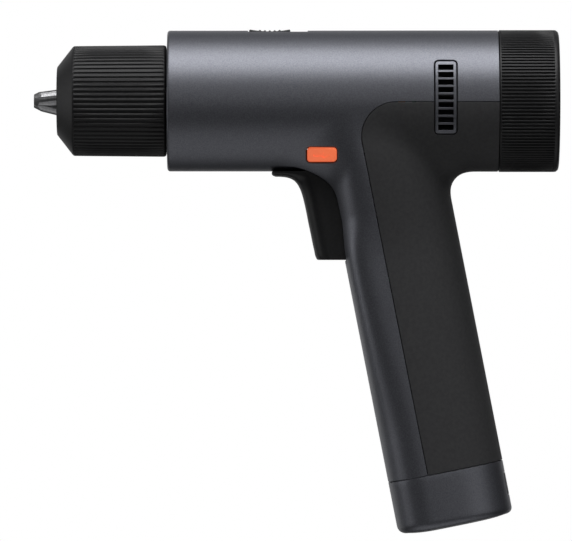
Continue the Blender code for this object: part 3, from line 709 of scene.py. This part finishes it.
def seam_outline(shift):
    """Side view of the seam between housing and grip cover, moved to the cover's side by a shift."""
    level, turn_x, radius, bottom_turn = -0.8 - shift, 133.5, 12.7 - shift, 101.3
    middle_z = -13.5
    outline = [(RING_SEAM, level), (turn_x, level)]
    for angle in np.linspace(90, 90 + bottom_turn, 24)[1:]:
        turn = math.radians(angle)
        outline.append((turn_x + radius * math.cos(turn), middle_z + radius * math.sin(turn)))
    foot = on_handle(SEAM_DOWN + 4, FOOT_SEAM_BACK + shift)
    outline.append((foot[0], foot[2]))
    return np.array(outline)


def side_edge(outline, radius, step=1.3):
    """An edge from its side view; a closed one needs no extra points at its ends."""
    finer_ends = () if np.allclose(outline[0], outline[-1]) else END_OFFSETS
    return Edge(left_side(dense(outline)), radius, step, finer_ends)


def ring_edge(shape, radius, step):
    """The closed edge of a rounded rectangle."""
    outline = rounded_rectangle(*shape)
    return side_edge(np.vstack((outline, outline[:1])), radius, step)


def slot_curve():
    """Where the trigger's slot meets the surface, from its front end down to its bottom."""
    side_view = ((SLOT_FRONT, -24.2), (94, -24.7), (100, -26.6), (105, -29.4), (109.5, -33),
                 (112.5, -41.4), (114, -50), (115.2, -62))
    points = [(x, -SLOT_HALF_WIDTH, z) for x, z in side_view]
    points = onto_skin(dense(points, 0.4), ACROSS)
    points = points[(points[:, 2] > SLOT_BOTTOM) & (points[:, 0] > SLOT_FRONT)]
    first = left_edge_point(points[0], 0, SLOT_FRONT)
    last = left_edge_point(points[-1], 2, SLOT_BOTTOM)
    return np.vstack((first, points, last))


def left_edge_point(near, axis, value):
    """The slot-edge point whose x or z has this exact value."""
    point = near.copy()
    point[axis] = value
    free = np.zeros(3)
    free[2 if axis == 0 else 0] = 1
    for _ in range(20):
        pull = slope(point[None])[0] @ free
        point = point - free * np.clip(skin(point[None])[0] / pull, -1, 1)
    return point


def level_line(start, end):
    """The surface's line at one height, between two points."""
    share = np.linspace(0, 1, 60)[:, None]
    up = np.array((0.0, 0.0, 1.0))
    line = onto_skin(start + (end - start) * share, up)
    line[0], line[-1] = start, end
    return line


def foot_corner(shift):
    """The handle's lower outline, and the number of its point at the seam."""
    arc = egg_arc(FOOT_LEVEL, 0, 180, 400)
    seam_end = on_handle(FOOT_LEVEL, FOOT_SEAM_BACK + shift)
    return arc, int(np.abs((arc - seam_end) @ BACK).argmin())


def vent_arch(level, upper):
    """The part of the vent hole's outline above or below the seam, left to right."""
    x, z, half_length, half_height, corner_radius = VENT_HOLE
    arch = rounded_rectangle(x, z, half_length, half_height, corner_radius)
    sign = 1 if upper else -1
    arch = arch[sign * (arch[:, 1] - level) > 0.05]
    arch = arch[np.argsort(-sign * np.arctan2(arch[:, 1] - level, arch[:, 0] - x))]
    return np.vstack(((x - half_length, level), arch, (x + half_length, level)))


def handle_seam(shift):
    """The seam from the handle's foot up to the vent, on the surface."""
    arc, corner = foot_corner(shift)
    seam = left_side(dense(seam_outline(shift)))
    down = (seam - (HANDLE_TOP, 0, 0)) @ DOWN
    below_vent = seam[:, 0] < VENT_HOLE[0] - VENT_HOLE[2]
    seam = seam[(down < FOOT_LEVEL - 0.05) & below_vent][::-1]
    vent_end = left_side([(VENT_HOLE[0] - VENT_HOLE[2], seam_outline(shift)[0][1])])
    return np.vstack((arc[corner], seam, vent_end))


def housing_loop():
    """Outline of the grey left half, counter-clockwise from its bottom front corner."""
    slot = slot_curve()
    slot_foot = left_edge_point(silhouette([(114.8, SLOT_BOTTOM)] * 2)[0], 2, SLOT_BOTTOM)
    arc, corner = foot_corner(-SEAM_HALF_GAP)
    level = seam_outline(-SEAM_HALF_GAP)[0][1]
    top_end = barrel_arc(RING_SEAM, math.degrees(math.asin(level / BARREL_RADIUS)), 90)
    pocket_z = math.sqrt(BARREL_RADIUS**2 - POCKET_HALF_WIDTH**2)
    pocket_angle = math.degrees(math.acos(POCKET_HALF_WIDTH / BARREL_RADIUS))
    front, back = POCKET
    pocket_side = [(back, -POCKET_HALF_WIDTH, pocket_z), (front, -POCKET_HALF_WIDTH, pocket_z)]
    slot_edge = Edge(slot, 0.0, 1.1)
    x, _, z = slot_edge.points.T
    slot_edge.radius = 0.1 + blend(0, 2.2, 90, 104, x) * blend(1, 0.5, 50, 58, -z)
    return [
        Edge([(BARREL_FRONT, 0, -BARREL_RADIUS), (SLOT_FRONT, 0, -BARREL_RADIUS)], PART_LINE),
        Edge(np.vstack((barrel_arc(SLOT_FRONT, -90, -68.4), slot[0]))),
        slot_edge,
        Edge(level_line(slot[-1], slot_foot), 0.5),
        Edge(silhouette([(slot_foot[0], SLOT_BOTTOM), (arc[0, 0], arc[0, 2])]), PART_LINE),
        Edge(arc[:corner + 1], 0.15),
        Edge(handle_seam(-SEAM_HALF_GAP), 0.16, 1.0),
        Edge(left_side(dense(vent_arch(level, upper=True))), 0.25, 1.0),
        side_edge([(VENT_HOLE[0] + VENT_HOLE[2], level), (RING_SEAM, level)], 0.16),
        Edge(top_end, 0.3),
        Edge([(RING_SEAM, 0, top_end[-1, 2]), (back, 0, BARREL_RADIUS + 0.03)], PART_LINE),
        Edge(barrel_arc(back, 90, pocket_angle), 0.25),
        Edge(pocket_side, 0.25),
        Edge(barrel_arc(front, pocket_angle, 90), 0.25),
        Edge([(front, 0, BARREL_RADIUS), (BARREL_FRONT, 0, BARREL_RADIUS)], PART_LINE),
        Edge(barrel_arc(BARREL_FRONT, 90, -90), FRONT_ROUNDING),
    ]


def cover_loop():
    """Outline of the left half of the black grip cover, counter-clockwise from its foot at the seam."""
    arc, corner = foot_corner(SEAM_HALF_GAP)
    level = seam_outline(SEAM_HALF_GAP)[0][1]
    rear_foot = on_handle(FOOT_LEVEL, HANDLE_HALF_DEPTH)
    rear = silhouette([
        (rear_foot[0], rear_foot[2]), (155.4, -33), (159.5, -28.4), (165, -26.3), (RING_SEAM, -26.1),
    ])
    rear[0] = arc[-1]
    ring_arc = barrel_arc(RING_SEAM, -90, math.degrees(math.asin(level / BARREL_RADIUS)))
    return [
        Edge(arc[corner:], 0.15),
        Edge(rear, open_to_mirror=True),
        Edge(ring_arc, 0.3),
        side_edge([(RING_SEAM, level), (VENT_HOLE[0] + VENT_HOLE[2], level)], 0.12),
        Edge(left_side(dense(vent_arch(level, upper=False)[::-1])), 0.25, 1.0),
        Edge(handle_seam(SEAM_HALF_GAP)[::-1], 0.12, 1.0),
    ]


def close_loop(loop):
    """Makes the end of each edge coincide with the start of the next."""
    for edge, following in zip(loop, [*loop[1:], loop[0]]):
        edge.points[-1] = following.points[0]
    return loop


def band(first, second, count):
    """Faces between two closed rows of points that start at these numbers."""
    following = [*range(1, count), 0]
    return [(first + i, first + k, second + k, second + i) for i, k in enumerate(following)]


def lofted(sections):
    """Closed faces through equal rings of points, the first and last ring capped."""
    count = len(sections[0])
    points = np.concatenate(sections)
    faces = [tuple(range(count - 1, -1, -1))]
    for row in range(len(sections) - 1):
        faces += band(row * count, (row + 1) * count, count)
    faces.append(tuple(range(len(points) - count, len(points))))
    return points, faces


def add_part(shape, extra):
    """A (points, faces, normals) shape with another one added to it."""
    points, faces, normals = shape
    more_points, more_faces = extra
    start = len(points)
    flat = []
    for face in more_faces:
        corners = more_points[list(face[:3])]
        normal = np.cross(corners[1] - corners[0], corners[2] - corners[0])
        flat.append([normal / max(np.linalg.norm(normal), 1e-9)] * len(face))
    moved = [tuple(i + start for i in face) for face in more_faces]
    return np.concatenate((points, more_points)), faces + moved, normals + flat


def plate(outline, low, high):
    """A flat plate from a counter-clockwise outline seen from above."""
    return lofted([np.array([(x, y, z) for x, y in outline]) for z in (low, high)])


def upright_plate(outline, half_width):
    """A plate across the middle plane, from an outline seen from the side."""
    return lofted([np.array([(x, y, z) for x, z in outline]) for y in (-half_width, half_width)])


def round_bar(start, end, z, radius, count=32):
    """A bar along the tool at one height."""
    turns = np.arange(count) * 2 * math.pi / count
    ring = np.column_stack((np.zeros(count), radius * np.cos(turns), z + radius * np.sin(turns)))
    return lofted([ring + (start, 0, 0), ring + (end, 0, 0)])


def trough(start, end, first, last, radius, depth, steps=10):
    """Part of a tube's wall along the barrel, from one angle to another."""
    turns = np.radians(np.linspace(first, last, steps + 1))
    outer = np.column_stack((-radius * np.cos(turns), radius * np.sin(turns)))
    section = np.concatenate((outer, outer[::-1] * (1 - depth / radius)))[::-1]
    return lofted([np.column_stack((np.full(len(section), x), section)) for x in (start, end)])


def build_housing(seeds):
    """Both grey halves, each with its strip over the trigger and its half of the selector's floor."""
    front, back = POCKET
    edge, middle, stem = -5.2, -0.02, -3.2
    floor = [
        (front - 0.3, edge), (back + 0.3, edge), (back + 0.3, middle), (99.4, middle), (99.3, -2.6),
        (98.6, stem), (79.9, stem), (79.3, -2.6), (79.2, middle), (front - 0.3, middle),
    ]

    def beside_button(points):
        gap = np.hypot(points[:, 0] - BUTTON_HOLE[0], points[:, 2] - BUTTON_HOLE[1])
        return 1 - smooth_step(7.5, 12, gap)

    hole = ring_edge(BUTTON_HOLE, 0.25, 0.7)
    hole.points = hole.points[::-1].copy()
    loops = [close_loop(housing_loop()), [hole]]
    shape = Patch(loops, seeds, SHELL, straight=beside_button).shape
    shape = add_part(shape, trough(SLOT_FRONT - 1, 118, -90, -65, BARREL_RADIUS - 0.03, 1.9))
    shape = add_part(shape, plate(floor, 23.6, 24.6))
    on_both_sides("housing_{}_shell", shape, "casing", "grey_paint", "housing_{}")


def build_cover(seeds):
    patch = Patch([close_loop(cover_loop())], seeds, COVER_THICKNESS)
    mesh = mesh_from("grip_cover_shell", *joined_to_mirror(*patch.shape))
    new_object(mesh, "casing", "grip", "grip_cover")


def everywhere(points):
    return np.ones(len(points))


def build_vents():
    """The slotted inserts in both vents."""
    middle_x, middle_z = VENT_INSERT[:2]
    loops = [[ring_edge(VENT_INSERT, 0.3, 0.5)]]
    for number in range(VENT_SLOTS):
        z = middle_z + (number - (VENT_SLOTS - 1) / 2) * VENT_PITCH
        signs = ((-1, -1), (-1, 1), (1, 1), (1, -1), (-1, -1))
        half_length, half_height = VENT_SLOT_HALF
        corners = [(middle_x + a * half_length, z + b * half_height) for a, b in signs]
        loops.append([side_edge(pair, 0.08, 0.9) for pair in zip(corners, corners[1:])])
    shape = Patch([close_loop(loop) for loop in loops], NO_SEEDS, 2.0, straight=everywhere).shape
    on_both_sides("vent_{}_grille", shape, "casing", "grey_paint", "vent_insert_{}")


def build_buttons():
    """The two ends of the direction button, crowned, each with a sunk arrow, and the bar between them."""
    middle_x, middle_z, half_length, half_height = BUTTON[:4]
    arrow_head = [(-2.95, 0.35), (0.6, 0.35), (0.6, 1.05), (2.95, 0), (0.6, -1.05), (0.6, -0.35)]
    arrow = [(-2.95, -0.35), *arrow_head, (-2.95, -0.35)]
    corners = [(middle_x + dx, middle_z + dz) for dx, dz in arrow]
    arrow_edges = [side_edge(pair, 0.06, 0.5) for pair in zip(corners, corners[1:])]
    floor_edges = [side_edge(pair, 0.0, 0.5) for pair in zip(corners[::-1], corners[-2::-1])]
    seeds = left_side([(x, z) for x in np.arange(100.5, 112, 0.5) for z in np.arange(-23, -17.3, 0.5)])

    def crown(points):
        across = np.clip(1 - ((points[:, 0] - middle_x) / half_length) ** 2, 0, 1)
        upright = np.clip(1 - ((points[:, 2] - middle_z) / half_height) ** 2, 0, 1)
        return BUTTON_CROWN * across * upright

    def arrow_floor(points):
        return crown(points) - ARROW_DEPTH

    loops = [close_loop([ring_edge(BUTTON, 0.6, 0.45)]), close_loop(arrow_edges)]
    shape = Patch(loops, seeds, 2.4, crown, everywhere).shape
    floor = Patch([close_loop(floor_edges)], NO_SEEDS, 1.8, arrow_floor, everywhere)
    shape = add_part(shape, floor.shape[:2])
    on_both_sides("direction_{}_button", shape, "direction", "orange_plastic", "direction_button")

    web = [(98.9, -23.6), (113.3, -23.6), (113.3, -19.4), (101.6, -19.4), (101.6, -17.95), (98.9, -17.95)]
    bar = [(103, -21.3), (109.4, -21.3), (109.4, -19.3), (103, -19.3)]
    mesh = solid_mesh("direction_link_bar", upright_plate(web, 1.2))
    link = new_object(mesh, "direction", "black_plastic")
    combine(link, "UNION", upright_plate(bar, 14.2))


# ---------------------------------------------------------------- trigger, rings and selector


TRIGGER_HALF_WIDTH = 9.2
TRIGGER_ROUNDING = 6.0
TRIGGER_POWER = 2.4
SPRING_LEVEL = -40
# Front point and hidden back point of each section, as (x, z), from the tongue's tip to the bottom
TRIGGER_SECTIONS = (
    ((87.8, -26.7), (88.0, -26.05)), ((88.0, -27.3), (88.2, -26.03)),
    ((88.6, -27.75), (88.8, -26.03)), ((91.0, -28.0), (91.0, -26.03)),
    ((93.0, -28.2), (93.2, -26.03)), ((94.9, -28.75), (95.6, -26.03)),
    ((96.3, -29.6), (98.5, -26.03)), ((97.4, -30.9), (103.5, -26.03)),
    ((98.4, -32.8), (109.0, -29.5)), ((99.3, -35.5), (116.5, -34.0)),
    ((100.0, -38.4), (118.0, -38.0)), ((100.65, -41.4), (118.0, -41.4)),
    ((101.3, -44.8), (118.0, -44.8)), ((102.0, -48.1), (118.0, -48.1)),
    ((103.4, -54.8), (118.0, -54.8)), ((104.35, -58.2), (118.0, -58.2)),
    ((104.6, -58.55), (117.9, -58.55)), ((105.1, -58.7), (117.5, -58.7)),
)


def trigger_section(front, back, steps=28):
    front, back = np.array((front[0], 0, front[1])), np.array((back[0], 0, back[1]))
    depth = np.linalg.norm(back - front)
    inward = (back - front) / depth
    rounding = min(TRIGGER_ROUNDING, 0.85 * depth)
    places = []
    for angle in np.radians(np.linspace(0, 180, steps + 1)):
        across = math.copysign(abs(math.cos(angle)) ** (2 / TRIGGER_POWER), math.cos(angle))
        deep = rounding * (1 - math.sin(angle) ** (2 / TRIGGER_POWER))
        places.append((-TRIGGER_HALF_WIDTH * across, deep))
    for side, share in ((1, 0.5), (1, 1.0), (-1, 1.0), (-1, 0.5)):
        places.append((side * TRIGGER_HALF_WIDTH, rounding + (depth - rounding) * share))
    return np.array([front + inward * deep + ACROSS * side for side, deep in places])


def curved_through(sections, parts):
    """More sections, on smooth curves through the given ones."""
    front_line = sections[:, 14]
    gaps = np.linalg.norm(np.diff(front_line, axis=0), axis=1)
    along = np.concatenate(((0.0,), np.cumsum(gaps)))
    slopes = np.gradient(sections, along, axis=0)
    result = []
    for k, gap in enumerate(gaps):
        for t in np.arange(parts) / parts:
            result.append(
                (2 * t**3 - 3 * t**2 + 1) * sections[k] + (t**3 - 2 * t**2 + t) * gap * slopes[k]
                + (3 * t**2 - 2 * t**3) * sections[k + 1] + (t**3 - t**2) * gap * slopes[k + 1]
            )
    return [*result, sections[-1]]


def build_trigger():
    """The trigger with its tongue, a seat for the spring and the plunger inside that."""
    sections = np.array([trigger_section(*pair) for pair in TRIGGER_SECTIONS])
    mesh = solid_mesh("trigger_blade", lofted(curved_through(sections, 4)))
    blade = new_object(mesh, "trigger", "black_plastic")
    combine(blade, "DIFFERENCE", round_bar(114.2, 126, SPRING_LEVEL, 5.4))
    combine(blade, "UNION", round_bar(112, 130.8, SPRING_LEVEL, 1.6), sharp=38)
    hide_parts("trigger")


GROOVE = (0.0, 0.0, 0.4, 1.0, 1.0, 1.0, 0.4, 0.0)  # share of the depth, over one rib's pitch
TORQUE_RIBS = 124
SLEEVE_RIBS = 69


def ribbed_turning(rows, ribs):
    """A closed profile of (x, radius, groove depth) turned round the barrel's axis."""
    count = ribs * len(GROOVE)
    turns = np.arange(count) * 2 * math.pi / count
    groove = np.tile(GROOVE, ribs)
    points = []
    for x, radius, depth in rows:
        reach = radius - depth * groove
        points.append(np.column_stack((np.full(count, x), -reach * np.cos(turns), reach * np.sin(turns))))
    points = np.concatenate(points)
    faces = []
    for row in range(len(rows)):
        faces += band(row * count, (row + 1) % len(rows) * count, count)
    return points, faces


def build_rings():
    """The clutch ring at the back and the chuck's sleeve at the front, both finely ribbed."""
    ring = [(171.58, 21.3, 0), (171.58, 25.75, 0), (171.68, 26.08, 0), (171.9, 26.2, 0), (172.15, 26.2, 0)]
    ring += [(x, 26.2, 0.6) for x in (172.35, 178, 185, 191.4)]
    ring += [
        (191.8, 26.2, 0), (192.2, 26.2, 0), (192.75, 26.08, 0), (193.2, 25.75, 0), (193.55, 25.3, 0),
        (193.7, 24.7, 0), (193.7, 20.6, 0), (193.4, 20.2, 0), (192.0, 20.2, 0), (192.0, 21.3, 0),
    ]
    mesh = solid_mesh("torque_ring_ribbed", ribbed_turning(ring, TORQUE_RIBS), sharp=40)
    new_object(mesh, "torque_dial", "black_plastic", "torque_ring")

    sleeve = [
        (8.54, 10.5, 0), (8.54, 12.1, 0), (8.6, 12.45, 0), (8.85, 12.85, 0), (14.1, 19.6, 0),
        (14.4, 19.95, 0), (14.7, 20.15, 0), (15.0, 20.26, 0), (15.25, 20.28, 0.5),
    ]
    sleeve += [(x, 20.3 + 0.009 * (x - 15), 0.5) for x in (22, 30, 40, 47.8)]
    sleeve += [
        (48.2, 20.55, 0), (48.6, 20.4, 0), (48.9, 20.0, 0), (49.0, 19.5, 0), (49.0, 15.9, 0),
        (18.6, 15.9, 0), (18.6, 10.5, 0),
    ]
    mesh = solid_mesh("chuck_sleeve_ribbed", ribbed_turning(sleeve, SLEEVE_RIBS), sharp=40)
    new_object(mesh, "sleeve", "black_plastic", "chuck_sleeve")


def build_selector():
    """The speed selector: a saddle-topped slide with five ribs for the thumb, and its stem."""
    front, back, half_width, bottom = 79.5, 94.7, 4.5, 25.2
    rib_pitch, rib_height, rounding = 1.8, 0.4, 0.5
    middle, half_length = (front + back) / 2, (back - front) / 2
    rounded = np.array((0, 0.08, 0.25, 0.5))
    inner_x = np.arange(front + 0.75, back - 0.6, 0.15)
    xs = np.concatenate((front + rounded, inner_x, back - rounded[::-1]))
    ys = np.concatenate((rounded - half_width, (-2.5, -1.2, 0, 1.2, 2.5), half_width - rounded[::-1]))
    x, y = np.meshgrid(xs, ys, indexing="ij")
    top = 26.5 - 0.75 * (1 - ((x - middle) / half_length) ** 2) - 0.2 * (y / half_width) ** 2
    ridge = np.clip(np.cos((x - middle) * 2 * math.pi / rib_pitch), 0, 1) ** 0.7
    ribbed = (np.abs(x - middle) < 2.5 * rib_pitch) * (1 - smooth_step(3.2, 4.0, np.abs(y)))
    top = top + rib_height * ridge * ribbed
    for reach in (half_length - np.abs(x - middle), half_width - np.abs(y)):
        rest = np.clip(rounding - reach, 0, rounding)
        top = top - (rounding - np.sqrt(np.maximum(rounding**2 - rest**2, 0)))
    sections = []
    for row_x, row_y, row_top in zip(x, y, top):
        outline = [(row_y[-1], bottom), (row_y[0], bottom), *zip(row_y, row_top)]
        sections.append(np.array([(row_x[0], across, up) for across, up in outline]))
    mesh = solid_mesh("speed_selector_slide", lofted(sections))
    slide = new_object(mesh, "selector", "black_plastic")
    stem = [(81.6, -2.9), (92.6, -2.9), (92.6, 2.9), (81.6, 2.9)]
    combine(slide, "UNION", plate(stem, 23.2, bottom + 0.05), sharp=40)
    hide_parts("speed_selector")


# ---------------------------------------------------------------- battery foot


FOOT_POINTS = 72
KEY_DOWN = (144, 152)
KEY_HALF_WIDTH = 5


def foot_ring(down, inset):
    """The handle's outline at one level, moved inwards."""
    arc = egg_arc(down, 0, 180, FOOT_POINTS + 1)
    ring = np.vstack((arc, arc[-2:0:-1] * (1, -1, 1)))
    return ring - normal_at(ring) * np.broadcast_to(inset, (len(ring),))[:, None]


def key_block(margin, back_low, back_high):
    """The block that the release key fills, with corners rounded by one millimetre."""
    low, high, half_width = KEY_DOWN[0] - margin, KEY_DOWN[1] + margin, KEY_HALF_WIDTH + margin
    loops = []
    for back in (back_low, back_high):
        loop = []
        for k, (down, side) in enumerate(((low, -1), (high, -1), (high, 1), (low, 1))):
            sign = 1 if down == low else -1
            for turn in np.radians(22.5 * np.arange(5)[:: 1 if k % 2 == 0 else -1]):
                rounded_side = side * (half_width - 1 + math.sin(turn))
                loop.append(on_handle(down + sign * (1 - math.cos(turn)), back, rounded_side))
        loops.append(np.array(loop))
    return lofted(loops)


def build_foot():
    """The battery's foot with its rounded, slightly crowned base, and the release key at the back."""
    rows = [(0.1, 0.25), (0.13, 0.12), (0.2, 0.03), (0.35, 0.0)]
    sections = [foot_ring(SEAM_DOWN + below, inset) for below, inset in rows]
    sections += [foot_ring(down, 0.0) for down in np.arange(141.5, 155.9, 2.0)]
    around = np.arange(2 * FOOT_POINTS)
    corner = np.interp(around, (0, FOOT_POINTS, 2 * FOOT_POINTS), (3.0, 2.2, 3.0))
    for angle in np.radians(np.arange(0, 91, 15)):
        base = foot_ring(BASE_DOWN, corner * (1 - math.cos(angle)))
        sections.append(base - DOWN * (corner * (1 - math.sin(angle)))[:, None])
    for share in (0.2, 0.4, 0.6, 0.8, 1.0):
        lower = foot_ring(BASE_DOWN, corner + (9.0 - corner) * share)
        sections.append(lower + DOWN * 0.7 * math.sin(math.pi / 2 * share))
    shape = lofted(sections)
    for name, body, slot, node, operation, margin, low in (
        ("battery_foot_shell", "battery", "grey_paint", "battery_foot", "DIFFERENCE", 0.3, 13.5),
        ("battery_release_key", "battery_key", "black_plastic", "battery_release", "INTERSECT", 0.0, 17.0),
    ):
        piece = new_object(solid_mesh(name, shape), body, slot)
        combine(piece, operation, key_block(margin, low, 40.0), sharp=35)
        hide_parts(node)


# ---------------------------------------------------------------- studio, in metres

FLOOR_BELOW = 0.125  # room for the battery that slides out downwards
FLOOR_REACH = 3.0
CAMERA_DISTANCE = 3.0
FRAME_WIDTH = 0.21135
CAMERA_OFFSET = (0.0931, -0.0626)  # along X and Z, from the tip of the jaws on the barrel's axis


def area_light(name, place, size, power):
    """A soft rectangular light that faces the middle of the tool."""
    data = bpy.data.lights.new(name, "AREA")
    data.shape = "RECTANGLE"
    data.size, data.size_y = size
    data.energy = power
    light = bpy.data.objects.new(name, data)
    light.location = place
    light.rotation_euler = (Vector((0, 0, 0.1)) - Vector(place)).to_track_quat("-Z", "Y").to_euler()
    light.visible_camera = False
    bpy.context.scene.collection.objects.link(light)


def pale_floor():
    """A floor as light as the backdrop, with no shadow on it and open to a look from below."""
    material = bpy.data.materials.new("pale_floor")
    material.use_nodes = True
    shader = material.node_tree.nodes["Principled BSDF"]
    shader.inputs["Base Color"].default_value = (0, 0, 0, 1)
    shader.inputs["Specular IOR Level"].default_value = 0
    shader.inputs["Emission Color"].default_value = (1, 1, 1, 1)
    shader.inputs["Emission Strength"].default_value = 1
    nodes, links = material.node_tree.nodes, material.node_tree.links
    underside = nodes.new("ShaderNodeNewGeometry").outputs["Backfacing"]
    upper = nodes.new("ShaderNodeMath")
    upper.operation = "SUBTRACT"
    upper.inputs[0].default_value = 1
    links.new(underside, upper.inputs[1])
    links.new(upper.outputs[0], shader.inputs["Alpha"])
    return material


def build_studio():
    scene = bpy.context.scene
    scene.view_settings.view_transform = "Standard"
    world = bpy.data.worlds.new("studio")
    scene.world = world
    world.use_nodes = True
    world.node_tree.nodes["Background"].inputs["Color"].default_value = (1, 1, 1, 1)
    world.node_tree.nodes["Background"].inputs["Strength"].default_value = 1.0
    for kind in ("diffuse", "glossy", "transmission", "scatter"):
        setattr(world.cycles_visibility, kind, False)

    area_light("top_softbox", (0.0, -0.34, 1.05), (1.3, 0.75), 13.5)
    area_light("back_wall", (0.0, 1.6, 0.25), (3.0, 1.8), 10.0)
    area_light("left_strip", (-1.15, 0.12, 0.2), (0.5, 0.9), 2.2)
    area_light("right_fill", (1.3, -1.0, 0.25), (0.9, 1.0), 2.4)
    area_light("front_fill", (0.1, -2.3, 0.5), (1.6, 0.9), 2.6)
    area_light("floor_bounce", (0.0, -0.15, -0.6), (1.4, 1.0), 2.2)

    signs = ((-1, -1), (1, -1), (1, 1), (-1, 1))
    corners = [(sign_x * FLOOR_REACH, sign_y * FLOOR_REACH, -FLOOR_BELOW) for sign_x, sign_y in signs]
    mesh = bpy.data.meshes.new("floor")
    mesh.from_pydata(corners, [], [(0, 1, 2, 3)])
    mesh.materials.append(pale_floor())
    floor = bpy.data.objects.new("floor", mesh)
    for kind in ("diffuse", "glossy", "shadow"):
        setattr(floor, "visible_" + kind, False)
    scene.collection.objects.link(floor)

    data = bpy.data.cameras.new("camera")
    data.sensor_width = 36
    data.lens = data.sensor_width * CAMERA_DISTANCE / FRAME_WIDTH
    camera = bpy.data.objects.new("camera", data)
    camera.location = (ORIGIN[0] + CAMERA_OFFSET[0], -CAMERA_DISTANCE, ORIGIN[2] + CAMERA_OFFSET[1])
    camera.rotation_euler = (math.pi / 2, 0, 0)
    scene.collection.objects.link(camera)
    scene.camera = camera


finish_cad_nodes()
seeds = surface_seeds()
build_housing(seeds)
build_cover(seeds)
build_vents()
build_buttons()
build_trigger()
build_rings()
build_selector()
build_foot()
build_studio()
